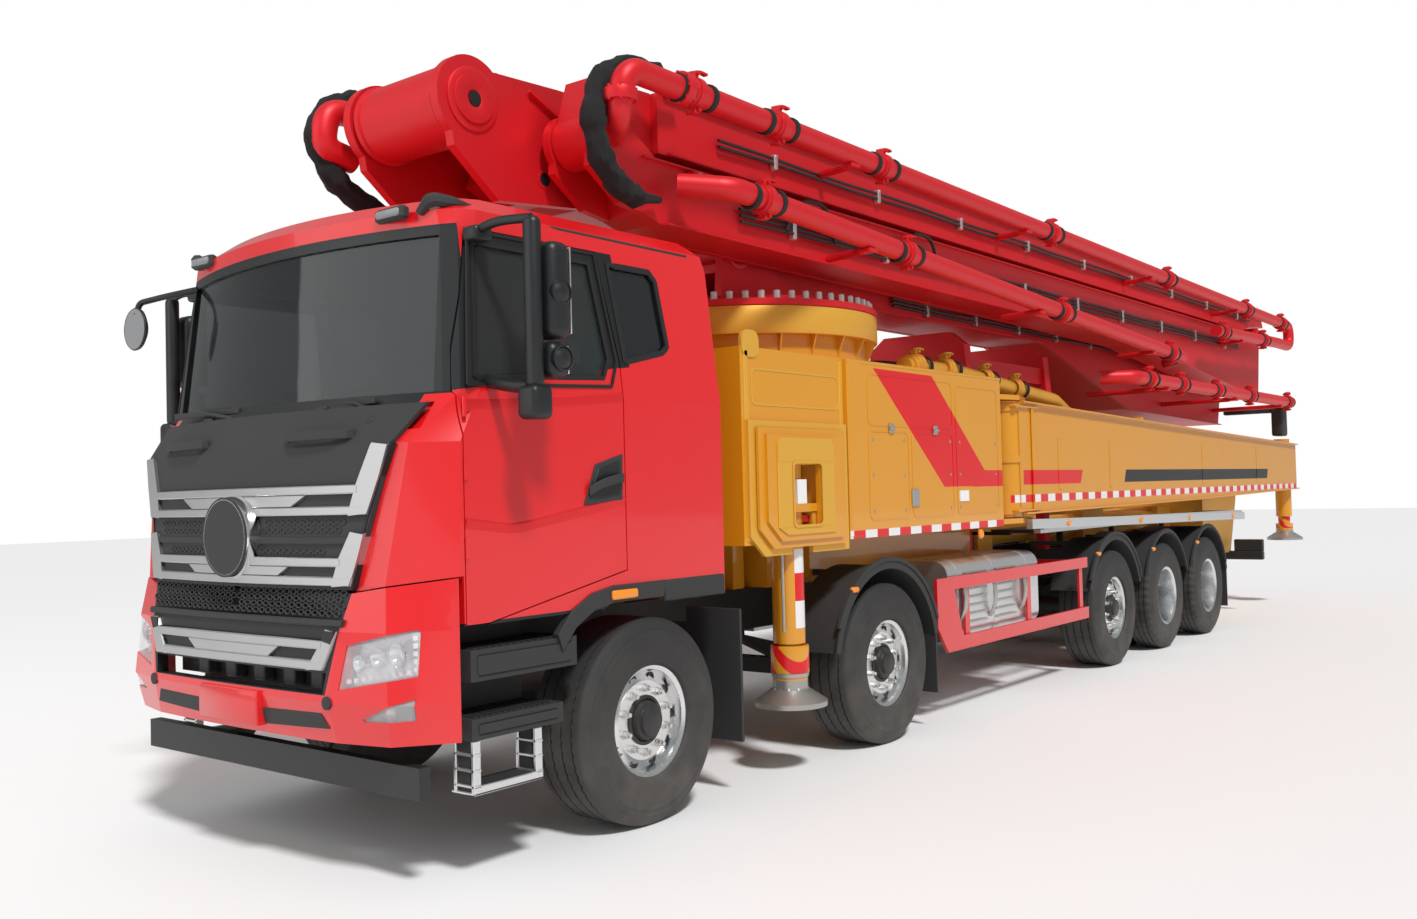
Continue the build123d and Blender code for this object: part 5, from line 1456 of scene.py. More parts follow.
# ------------------------------------------------------------------ boom
@dataclass(frozen=True)
class Run:
    """One straight run of delivery pipe, its distances given from the front axle."""

    pipe: str
    y: float
    start: tuple[float, float]
    end: tuple[float, float]
    couplings: tuple[float, ...]
    struts: tuple[float, ...]
    arm_y: float

    def height(self, x: float) -> float:
        """Height of its middle line."""
        (x0, z0), (x1, z1) = sorted((self.start, self.end))
        return float(np.interp(x, (x0, x1), (z0, z1)))


@dataclass
class PipeLine:
    """Couplings, rubber rings and struts of the delivery pipes."""

    radius: float = .07
    over_cab: tuple[float, float] = (-6.7, -4.3)
    runs: tuple[Run, ...] = (
        Run("pipe_5", 1.1, (-.7, 4.0), (-13.6, 3.85),
            (-.62, -1.45, -2.72, -5.66, -8.77, -11.8, -13.5), (-2.3, -5.1, -8.2, -11.3), .8),
        Run("pipe_4", 1.16, (-.9, 3.49), (-9.0, 3.06), (-1.2, -2.93, -5.71, -8.6),
            (-2.4, -5.2, -8.0), .8),
        Run("pipe_1", 1.16, (-7.5, 2.76), (-13.64, 2.75), (-7.9, -8.9, -10.2, -11.6, -13.45),
            (-8.4, -10.9, -13.0), .28),
        Run("pipe_5", 1.1, (-13.3, 3.56), (-10.5, 3.49), (-10.76, -12.55), (-11.5,), .8),
        Run("pipe_3", -.48, (0, 3.97), (-13.0, 3.95), (-.4, -3.3, -6.5, -9.8), (-2.0, -8.0),
            -.28),
        Run("pipe_2", -.48, (-.7, 3.64), (-12.6, 3.64), (-1.1, -4.3, -7.6, -11.0),
            (-3.0, -9.0), -.28),
    )

    def clamp(self, mesh: Mesh, at: Point, side: float, ends: Sequence[int] = (-1, 1)) -> None:
        """Two-part coupling: a ribbed ring, bolt lugs below and above, and a lever on top.

        Args:
            mesh: The mesh that it is added to.
            at: Middle of the coupling.
            side: Side of the vehicle that the lever leans to.
            ends: Lugs to make: -1 for the lower one and 1 for the upper one.
        """
        r = self.radius
        mesh.lathe([(r, -.052), (r + .012, -.05), (r + .014, -.03), (r + .022, -.027),
                    (r + .024, .027), (r + .014, .03), (r + .012, .05), (r, .052)], at, 0, 28)
        x, y, z = at
        for up in ends:
            mesh.block((x - .022, y - .03, z + up * (r + .034) - .018),
                       (x + .022, y + .03, z + up * (r + .034) + .018), cut=.006)
            mesh.lathe([(0, -.05), (.012, -.05), (.012, .05), (0, .05)],
                       (x, y, z + up * (r + .036)), 1, 8)
        lever = run((x + .01, y - side * .02, z + r + .05), (x - .05, y, z + r + .068),
                    (x - .11, y + side * .01, z + r + .058), bend=.03, steps=4)
        mesh.strip(lever, (0, 1, 0), .03, .014)

    def build(self) -> None:
        """Couplings, rings and struts of every run."""
        groups: dict[str, tuple[Mesh, Mesh]] = {}
        r = self.radius
        for line in self.runs:
            red, black = groups.setdefault(line.pipe, (Mesh(), Mesh()))
            side, y = sign(line.y), line.y
            for x in line.couplings:
                # this pipe passes close over the cab as the boom slews: no lower lug there
                bare = line.pipe == "pipe_4" and self.over_cab[0] < x < self.over_cab[1]
                self.clamp(red, ax(x, y, line.height(x)), side, (1,) if bare else (-1, 1))
                for off in (-.13, .13):
                    black.lathe([(r - .002, -.022), (r + .01, -.018), (r + .012, 0),
                                 (r + .01, .018), (r - .002, .022)],
                                ax(x + off, y, line.height(x)), 0, 24)
            for x in line.struts:
                z = line.height(x)
                red.tube(run(ax(x, y, z - .05), ax(x - .02, y - side * .05, z - .075),
                             ax(x - .06, line.arm_y, z - .08), bend=.04), .028, 10)
                red.block(ax(x - .05, y - .05, z - .095), ax(x + .05, y + .05, z - .068), cut=.005)
        for pipe, (red, black) in groups.items():
            red.piece(f"{pipe}_couplings", body(pipe), Finish.BOOM_RED)
            black.piece(f"{pipe}_rings", body(pipe), Finish.SEAL)


@dataclass
class Boom:
    """Flanges, pin discs, hose bundles, lamps and the slewing ring's bolts."""

    pin_3: tuple[float, float] = (.43, 3.87)
    pin_5: tuple[float, float] = (-.2, 3.72)
    main_half: float = .28
    side_in: float = .47
    side_out: float = .8
    bolts: int = 56
    bolt_circle: float = .945
    gussets: int = 24

    def disc(self, mesh: Mesh, x: float, z: float, y: float, size: float) -> None:
        """Pin cap: stepped discs with a split centre hole.

        Args:
            mesh: What it is added to.
            x: Distance of the pin from the front axle.
            z: Its height.
            y: Depth of the plate.
            size: Radius of the cap.
        """
        s = sign(y)
        mesh.lathe([(size, -.002), (size, .01), (size - .006, .014), (size * .78, .014),
                    (size * .78, .02), (size * .76, .026), (size * .62, .026), (size * .3, .026),
                    (size * .26, .022), (size * .26, .004), (0, .004)], ax(x, y, z), 1, 44, side=s)

    def lip(self, mesh: Mesh, ends: Sequence[tuple[float, float]], y: float, reach: float,
            thick: float = .012) -> None:
        """Flange edge: a flat strip that stands out from a side plate along a line (x, z).

        Args:
            mesh: What it is added to.
            ends: Points of the line.
            y: Depth of the side plate.
            reach: How far it stands out.
            thick: Its thickness.
        """
        path = [ax(x, y + sign(y) * reach / 2, z) for x, z in ends]
        mesh.strip(path, (0, 1, 0), reach, thick)

    def build_flanges(self) -> None:
        """Edges of the welded box beams."""
        lips = (
            ("arm_5", self.side_out, ([(-.7, 4.078), (-13.68, 3.958)], .035),
             ([(-.72, 3.722), (-12.7, 3.702)], .035)),
            ("arm_4", self.side_out, ([(-.5, 3.668), (-12.9, 3.668)], .03),
             ([(-.68, 3.302), (-5.65, 3.262), (-8.7, 3.222), (-12.6, 2.885)], .04)),
            ("arm_3", self.main_half, ([(-.55, 4.108), (-13.3, 4.038)], .035),
             ([(-.55, 3.832), (-13.3, 3.852)], .035)),
            ("arm_2", self.main_half, ([(-1.1, 3.785), (-13.2, 3.778)], .04),
             ([(-1.5, 3.502), (-13.2, 3.502)], .04)),
            ("arm_1", self.main_half, ([(-2.5, 3.468), (-13.4, 3.438)], .04),
             ([(-2.4, 3.167), (-7.2, 3.167), (-9.6, 2.572), (-13.3, 2.482)], .045)),
        )
        for arm, y, *lines in lips:
            mesh = Mesh()
            for ends, reach in lines:
                self.lip(mesh, ends, y, reach)
                if y == self.main_half:
                    self.lip(mesh, ends, -y, reach)
                else:
                    self.lip(mesh, ends, self.side_in, -reach)
            mesh.piece(f"{arm}_flanges", arm, Finish.BOOM_RED)

    def build_knuckles(self) -> None:
        """Pin discs and stiffeners of the two front knuckles and the rear ones, and black discs of painted
        shade in the front pin holes.
        """
        near = Mesh()
        for y in (.41, -.41):
            self.disc(near, *self.pin_3, y, .175)
            s = sign(y)
            near.lathe([(.052, -.001), (.055, .004), (.04, .005)], ax(-.1, y, 3.53), 1, 28, side=s)
            near.strip([ax(x, y + s * .014, z) for x, z in ((.02, 4.01), (-.22, 3.9),
                                                            (-.62, 3.6))], (0, 1, 0), .028, .016)
        near.piece("knuckle_front_plates", "arm_2", Finish.BOOM_RED)
        # Flat satin-black discs laid over the pin holes: painted shade inside the holes.
        hole = Mesh()
        for y in (.41, -.41):
            s = sign(y)
            hole.lathe([(.04, .002), (0, .002)], ax(-.1, y, 3.53), 1, 24, side=s)
            hole.lathe([(.042, .0255), (0, .0255)],
                       ax(self.pin_3[0], y, self.pin_3[1]), 1, 24, side=s)
        hole.piece("knuckle_front_hole_shade", "arm_2", Finish.SATIN_BLACK)
        side = Mesh()
        self.disc(side, *self.pin_5, .8, .15)
        side.lathe([(.055, -.002), (.055, .016), (.045, .022), (0, .022)], ax(-.3, .8, 3.45),
                   1, 28)
        for angle in turns(6):
            side.lathe([(.012, 0), (.012, .024), (0, .026)],
                       ax(-.3 + .034 * cos(angle), .8, 3.45 + .034 * sin(angle)), 1, 6)
        side.piece("knuckle_side_discs", "arm_4", Finish.BOOM_RED)
        for name, ride, x, z, depths, size in (
                ("knuckle_rear_discs", "arm_1", -13.84, 3.4, (.235, -.235), .13),
                ("knuckle_tail_disc", "arm_3", -13.48, 3.69, (self.side_out,), .11),
                ("turret_pin_discs", "turret", -2.0, 3.39, (.35, -.35), .13)):
            pins = Mesh()
            for y in depths:
                self.disc(pins, x, z, y, size)
            pins.piece(name, ride, Finish.BOOM_RED)
        barrel = Mesh()
        for y in (-.33, .33):
            s = sign(y)
            barrel.lathe([(.214, 0), (.226, .002), (.226, -.03), (.214, -.034)],
                         ax(self.pin_3[0], y, self.pin_3[1]), 1, 48, side=s)
        barrel.piece("knuckle_barrel_bands", "arm_3", Finish.BOOM_RED)

    def build_elbows(self) -> None:
        """Swept elbow with its bolted flanges where the outer pipe starts."""
        mesh = Mesh()
        for at, axis in ((ax(-.52, 1.1, 4.003), 0), (ax(-.04, 1.06, 3.86), 2)):
            mesh.lathe([(.07, -.035), (.092, -.033), (.096, -.02), (.096, .02), (.092, .033),
                        (.07, .035)], at, axis, 36)
            others = [k for k in range(3) if k != axis]
            for angle in turns(8):
                spot = list(at)
                spot[others[0]] += .086 * cos(angle)
                spot[others[1]] += .086 * sin(angle)
                mesh.lathe([(0, -.042), (.01, -.042), (.01, .042), (0, .042)], spot, axis, 6)
        mesh.piece("pipe_elbow_flanges", "arm_5", Finish.BOOM_RED)
        front = Mesh()
        front.tube(run(ax(.02, -.48, 3.97), ax(.24, -.53, 3.97), ax(.67, -.56, 3.965),
                       ax(.71, -.56, 3.74), ax(.5, -.56, 3.7), bend=.15, steps=8), .074, 20)
        front.lathe([(.074, -.03), (.098, -.028), (.098, .028), (.074, .03)],
                    ax(.26, -.535, 3.97), 0, 30)
        front.piece("pipe_front_elbow", "arm_3", Finish.BOOM_RED)

    def sleeve(self, points: Sequence[Point], thick: float) -> Mesh:
        """Cloth-wrapped hose bundle: a tube whose radius ripples along and round its path.

        Args:
            points: Corner points of its path.
            thick: Mean radius.

        Returns:
            The mesh.
        """
        path = run(*points, bend=.22, steps=12)
        n = len(path)
        along = np.linspace(0, 1, n)
        radius = thick * (1 + .1 * np.sin(along * 41) + .05 * np.sin(along * 97 + 1))
        radius *= np.clip(.35 + np.minimum(along, 1 - along) * 9, 0, 1)
        mesh = Mesh()
        mesh.tube(path, radius, 18)
        pts = mesh.points[0]
        turn = np.tile(np.arange(18), n)
        centre = np.repeat(path, 18, axis=0)
        mesh.points[0] = centre + (pts - centre) * (1 + .08 * np.sin(turn * 1.9 + np.repeat(
            np.arange(n), 18) * .7))[:, None]
        return mesh

    def build_bundles(self) -> None:
        """Hose bundles across the two front knuckles, in black cloth sleeves."""
        side = self.sleeve([ax(-.75, .905, 4.1), ax(-.4, .95, 4.12), ax(-.02, .96, 4.02),
                            ax(.1, .97, 3.74), ax(-.02, .95, 3.48), ax(-.28, .9, 3.38),
                            ax(-.58, .86, 3.42)], .066)
        made = side.piece("hose_sleeve_side", "", Finish.CLOTH)
        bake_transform(made, "arm_5", "arm_4", ax(-.02, .95, 3.95), ax(-.02, .95, 3.45))
        front = self.sleeve([ax(.1, -.6, 4.1), ax(.52, -.62, 4.08), ax(.74, -.62, 3.86),
                             ax(.62, -.6, 3.58), ax(.3, -.58, 3.4), ax(-.1, -.52, 3.36),
                             ax(-.5, -.5, 3.44)], .068)
        made = front.piece("hose_sleeve_front", "", Finish.CLOTH)
        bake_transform(made, "arm_3", "arm_2", ax(.66, -.6, 3.98), ax(.5, -.6, 3.5))

    def build_lines(self) -> None:
        """Steel lines, cable clips and work lamps along the arms' sides."""
        for arm, y, z, x0, x1, count in (("arm_4", .8, 3.5, -1.4, -12.4, 3),
                                         ("arm_5", .8, 3.9, -1.2, -13.0, 2),
                                         ("arm_1", .28, 3.3, -4.2, -12.9, 3)):
            black, steel = Mesh(), Mesh()
            xs = np.linspace(x0, x1, 24)
            for k in range(count):
                wave = .006 * np.sin(xs * 3.1 + k)
                path = np.stack([xs + AXLE_X, np.full(24, y + .026 + .004 * k),
                                 z - .035 * k + wave], axis=1)
                black.tube(path, .011, 8)
            for x in np.linspace(x0 - .6, x1 + .6, 9):
                steel.block(ax(x - .02, y, z - .035 * count), ax(x + .02, y + .045, z + .03),
                            cut=.006)
                steel.lathe([(0, .05), (.01, .05), (.01, .03)], ax(x, y, z + .018), 1, 6)
            black.piece(f"{arm}_lines", arm, Finish.HOSE)
            steel.piece(f"{arm}_clips", arm, Finish.BOLT)
        hose = Mesh()
        for x in (-1.9, -3.4):
            hose.tube(run(ax(x, .84, 3.44), ax(x - .1, .9, 3.66), ax(x - .42, .9, 3.66),
                          ax(x - .6, .84, 3.44), bend=.16, steps=8), .014, 10)
        hose.piece("arm_4_hoses", "arm_4", Finish.HOSE)
        lamp = Mesh()
        for x in (-.95, -1.25):
            lamp.block(ax(x - .05, .8, 3.56), ax(x + .05, .87, 3.66), cut=.01)
            lamp.lathe([(.034, 0), (.034, .012), (0, .014)], ax(x, .87, 3.61), 1, 20, 1)
        lamp.piece("arm_4_lamps", "arm_4", Finish.BOOM_RED, Finish.LENS, bevel=.004)
        post = Mesh()
        post.pillow(ax(-13.78, .93, 2.29), ax(-13.5, 1.08, 2.7), .03, 4)
        post.block(ax(-13.7, .28, 2.62), ax(-13.56, .95, 2.68), cut=.01)
        post.piece("boom_end_guard", "arm_1", Finish.BLACK_PLASTIC)

    def build_ring(self) -> None:
        """Slewing ring bolts, the skirt of its flange and small gussets below it."""
        bolts = Mesh()
        for angle in turns(self.bolts):
            spot = ax(RING_X + self.bolt_circle * cos(angle), self.bolt_circle * sin(angle), 3.0)
            bolts.lathe([(.03, 0), (.03, .008), (.024, .009), (.024, .052), (.019, .058),
                         (0, .059)], spot, 2, 8)
        bolts.piece("ring_bolts", "turret", Finish.BOLT)
        skirt = Mesh()
        skirt.lathe([(.925, 2.765), (.992, 2.765), (.996, 2.772), (.996, 2.945), (.992, 2.952),
                     (.9, 2.952)], ax(RING_X, 0, 0), 2, 96)
        for angle in turns(self.gussets, .5):
            skirt.fin([(.918, 2.62), (.918, 2.77), (.985, 2.77)], ax(RING_X), angle)
        skirt.piece("ring_skirt", "root", Finish.YELLOW)

    def build(self) -> None:
        """Everything on the boom and its turret."""
        self.build_flanges()
        self.build_knuckles()
        self.build_elbows()
        self.build_bundles()
        self.build_lines()
        self.build_ring()


# ------------------------------------------------------------------ cab sides
@dataclass
class CabSides:
    """Mirrors, seals, handles, creases, steps, arches and seats."""

    half: float = 1.245
    mirror_x: float = 1.09
    mirror_y: float = 1.54
    wheel_hub: tuple[float, float, float] = (.72, .62, 2.17)
    wheel_rim: float = .235

    def frame_line(self, mesh: Mesh, outline: Sequence[tuple[float, float]], side: float,
                   out: float, width: float, lean: float = 0) -> None:
        """Seal strip round an outline (x, z) on the side, leaning in above the belt.

        Args:
            mesh: What it is added to.
            outline: Corners (x, z).
            side: 1 on the left and -1 on the right.
            out: Distance beyond the cab's side.
            width: Width of the strip.
            lean: Slope inwards above the belt.
        """
        loop = np.array(outline + [outline[0]])
        fine = []
        for a, b in zip(loop, loop[1:]):
            fine += [a + (b - a) * t for t in np.linspace(0, 1, 6)[:-1]]
        fine = np.array(fine + [loop[0]])
        y = self.half + out - np.clip(fine[:, 1] - 2.2, 0, None) * lean
        path = np.stack([fine[:, 0] + AXLE_X, side * y, fine[:, 1]], axis=1)
        mesh.strip(path, (0, 1, 0), .012, width)

    def build_seals(self) -> None:
        """Rubber round the side windows, and the doors' handles."""
        lean = .08 / .76
        for side, word in SIDES:
            door = Mesh()
            self.frame_line(door, [(1.165, 2.262), (1.112, 2.888), (.357, 2.888), (.277, 2.402),
                                   (.322, 2.302)], side, -.004, .022, lean)
            self.frame_line(door, [(1.215, 2.225), (1.14, 2.94), (.315, 2.94), (.222, 2.392),
                                   (.275, 2.262)], side, .002, .016, lean)
            door.piece(f"door_seal_{word}", f"door_{word}", Finish.SEAL)
            rear = Mesh()
            self.frame_line(rear, [(.152, 2.395), (.217, 2.897), (-.105, 2.897), (-.152, 2.85),
                                   (-.197, 2.5), (-.152, 2.465)], side, -.002, .03, lean)
            rear.piece(f"rear_window_seal_{word}", "root", Finish.SEAL)
            self.build_handle(side, word)

    def build_handle(self, side: float, word: str) -> None:
        """Black handle recess with its grip, and the door's two pressed creases."""
        grip = Mesh()
        outline = [(.5, 1.668), (.415, 1.868), (.215, 1.922), (.222, 1.69)]
        y0, y1 = span(side, self.half - .004, self.half + .007)
        grip.slab(placed(outline), 1, y0, y1)
        inner = [(.462, 1.7), (.398, 1.845), (.24, 1.89), (.246, 1.712)]
        y0, y1 = span(side, self.half + .004, self.half + .01)
        grip.slab(placed(inner), 1, y0, y1, 1)
        near, far = side * (self.half + .012), side * (self.half + .04)
        path = run(ax(.47, near, 1.735), ax(.4, far, 1.775), ax(.27, far, 1.8),
                   ax(.225, near, 1.8), bend=.05)
        grip.strip(path, (0, 0, 1), .045, .018)
        grip.piece(f"door_handle_{word}", f"door_{word}", Finish.BLACK_PLASTIC,
                   Finish.SATIN_BLACK, bevel=.003)
        crease = Mesh()
        for line, thick in (([(1.245, 1.62), (.95, 1.585), (.2, 1.7)], .006),
                            ([(1.245, 2.145), (.6, 2.185), (.2, 2.22)], .004)):
            t = np.linspace(0, 1, 12)
            rows = []
            for out, rise in ((-.001, -.045), (thick, 0), (-.001, .012)):
                p = np.array([ax(x, side * (self.half + out), z + rise) for x, z in line])
                rows.append(np.stack([np.interp(t, (0, .4, 1), p[:, k]) for k in range(3)],
                                     axis=1))
            crease.grid(np.stack(rows))
        crease.piece(f"door_creases_{word}", f"door_{word}", Finish.CAB_RED)

    def build_mirrors(self) -> None:
        """Rounded mirror heads on their upright, with convex housings and glass."""
        for side, word in SIDES:
            mesh = Mesh()
            x, y = self.mirror_x, self.mirror_y

            def box(x0: float, x1: float, y0: float, y1: float, z0: float, z1: float,
                    r: float, slot: int = 0) -> None:
                """Rounded box on this side."""
                low, high = span(side, y0, y1)
                mesh.pillow(ax(x0, low, z0), ax(x1, high, z1), r, 5, slot)
            box(x - .036, x + .034, y - .042, y + .042, 2.185, 2.955, .034)
            box(x - .175, x - .045, y - .088, y + .075, 2.415, 2.85, .045)
            box(x - .16, x - .045, y - .078, y + .065, 2.238, 2.402, .04)
            box(x - .06, x + .062, y - .06, y + .062, 2.055, 2.205, .03)
            box(x - .182, x - .172, y - .07, y + .06, 2.44, 2.83, .01, 1)
            box(x - .166, x - .158, y - .062, y + .052, 2.26, 2.385, .01, 1)
            for z in (2.62, 2.325):
                at = ax(x - .11, side * (y + .06), z)
                mesh.lathe([(.06, -.01), (.06, .012), (.052, .016), (.05, .01), (.03, .024),
                            (0, .03)], at, 1, 28, side=side)
            mesh.tube(run(ax(x + .02, side * 1.16, 2.925), ax(x + .035, side * 1.34, 2.955),
                          ax(x, side * y, 2.945), bend=.1), .022, 12)
            mesh.pillow(ax(x - .04, side * 1.2 - .05, 2.885),
                        ax(x + .07, side * 1.2 + .05, 2.955), .02, 4)
            mesh.tube(run(ax(x, side * 1.235, 2.245), ax(x, side * 1.38, 2.215),
                          ax(x, side * (y - .03), 2.2), bend=.08), .03, 12)
            mesh.piece(f"mirror_{word}_shell", f"door_{word}", Finish.SATIN_BLACK, Finish.CHROME,
                       smooth=60, replaces=[f"mirror_{word}"])
        front = Mesh()
        front.lathe([(0, -.03), (.085, -.028), (.118, -.008), (.122, .004), (.116, .012),
                     (.112, .006)], ax(1.4, -1.36, 2.72), 0, 36)
        front.lathe([(0, .006), (.114, .01)], ax(1.4, -1.36, 2.72), 0, 36, 1)
        front.tube(run(ax(1.395, -1.36, 2.8), ax(1.38, -1.36, 2.87), ax(1.3, -1.18, 2.9),
                       ax(1.2, -1.05, 2.93), bend=.06), .017, 12)
        front.piece("mirror_front", "root", Finish.SATIN_BLACK, Finish.CHROME, smooth=50)

    def build_steps(self) -> None:
        """Tread plates and the folding step's slotted cheeks."""
        mesh, metal = Mesh(), Mesh()
        for side in (-1, 1):
            for z, x0, x1 in ((1.041, .6, 1.2), (.736, .7, 1.2)):
                for k in range(14):
                    x = x0 + (x1 - x0) * (k + .5) / 14
                    y0, y1 = span(side, .95, 1.21)
                    mesh.block(ax(x - .008, y0, z - .004), ax(x + .008, y1, z + .006))
            for z0, z1, x0, x1 in ((.905, 1.035, .57, 1.215), (.645, .73, .67, 1.215)):
                y0, y1 = span(side, 1.233, 1.243)
                mesh.block(ax(x0 + .03, y0, z0 + .02), ax(x1 - .03, y1, z1 - .02), cut=.004)
            for x in (.822, 1.198):
                y0, y1 = span(side, 1.1, 1.238)
                for z in (.43, .5, .57):
                    metal.block(ax(x - .022, y0, z), ax(x + .022, y1, z + .014), cut=.003)
                for y in (1.105, 1.225):
                    metal.block(ax(x - .022, side * y - .01, .405),
                                ax(x + .022, side * y + .01, .64), cut=.004)
            y0, y1 = span(side, 1.08, 1.238)
            metal.block(ax(.8, y0, .398), ax(1.22, y1, .412), cut=.004)
            for k in range(12):
                x = .82 + k * .034
                metal.block(ax(x, y0 + .01, .41), ax(x + .008, y1 - .01, .424))
            metal.block(ax(.8, y1 - .012 if side > 0 else y0, .398),
                        ax(1.22, y1 if side > 0 else y0 + .012, .44), cut=.004)
        mesh.piece("step_treads", "root", Finish.BLACK_PLASTIC)
        metal.piece("folding_steps", "root", Finish.ALUMINIUM)

    def build_arch(self) -> None:
        """Wheel-arch lip with its side marker lamp and the sill strip behind it."""
        lip, lamp = Mesh(), Mesh()
        for side in (-1, 1):
            y0, y1 = span(side, 1.215, 1.258)
            outer = [(.7, 1.06), (.6, 1.165), (.46, 1.235), (.3, 1.262), (.1, 1.262), (-.1, 1.262)]
            inner = [(x * .93 + .02, z - .085) for x, z in outer[::-1]]
            lip.slab(placed(outer + inner), 1, y0, y1)
            lip.block(ax(-.6, y0, 1.15), ax(-.09, y1, 1.262), cut=.008)
            lamp.pillow(ax(.14, side * 1.262 - .012, 1.19), ax(.33, side * 1.262 + .012, 1.238),
                        .012, 4)
        lip.piece("arch_lips", "root", Finish.BLACK_PLASTIC, bevel=.006)
        lamp.piece("arch_lamps", "root", Finish.ORANGE)

    def cushion(self, mesh: Mesh, low: Point, high: Point) -> None:
        """Crowned closed cushion.

        A superellipsoid: each half size times the sign and a small power of the sines and
        cosines of latitude and longitude, so its faces crown and its edges stay full.

        Args:
            mesh: What it is added to.
            low: Corner with the smallest coordinates.
            high: Corner with the largest.
        """
        low, high = np.array(low), np.array(high)
        half, mid = (high - low) / 2, (high + low) / 2
        lat, lon = np.meshgrid(np.linspace(-pi / 2, pi / 2, 25),
                               np.linspace(0, 2 * pi, 48, endpoint=False), indexing="ij")

        def power(value: Array, grade: float = .42) -> Array:
            """Signed power."""
            return np.sign(value) * np.abs(value) ** grade
        points = np.stack([mid[0] + half[0] * power(np.cos(lat)) * power(np.cos(lon)),
                           mid[1] + half[1] * power(np.cos(lat)) * power(np.sin(lon)),
                           mid[2] + half[2] * power(np.sin(lat))], axis=-1)
        mesh.grid(points, closed_columns=True)

    def build_seats(self) -> None:
        """Shaped seats with head rests, and a steering wheel on its column."""
        for y, word in ((.62, "left"), (-.62, "right")):
            for part, low, high in (("cushion", (-.21, y - .255, 1.57), (.345, y + .255, 1.745)),
                                    ("back", (-.36, y - .245, 1.67), (-.17, y + .245, 2.4)),
                                    ("head_rest", (-.38, y - .13, 2.42), (-.25, y + .13, 2.62))):
                mesh = Mesh()
                self.cushion(mesh, ax(*low), ax(*high))
                made = mesh.piece(f"seat_{part}_{word}", "root", Finish.SEAT, smooth=70)
        wheel = Mesh()
        hub, rim, tilt = ax(*self.wheel_hub), self.wheel_rim, radians(62)

        def on_rim(angle: Array) -> Array:
            """Points of the tilted circle at some angles."""
            return np.stack([hub[0] + rim * np.cos(angle) * cos(tilt),
                             hub[1] + rim * np.sin(angle),
                             hub[2] + rim * np.cos(angle) * sin(tilt)], axis=-1)
        wheel.tube(on_rim(np.linspace(0, 2 * pi, 33)), .016, 10)
        wheel.tube([hub, ax(1.05, .62, 1.95)], .035, 12)
        for angle in np.radians((30, 150, 270)):
            wheel.tube([hub, on_rim(angle)], .012, 8)
        wheel.piece("steering_wheel", "root", Finish.BLACK_PLASTIC)

    def build(self) -> None:
        """Everything on the cab's sides."""
        self.build_seals()
        self.build_mirrors()
        self.build_steps()
        self.build_arch()
        self.build_seats()


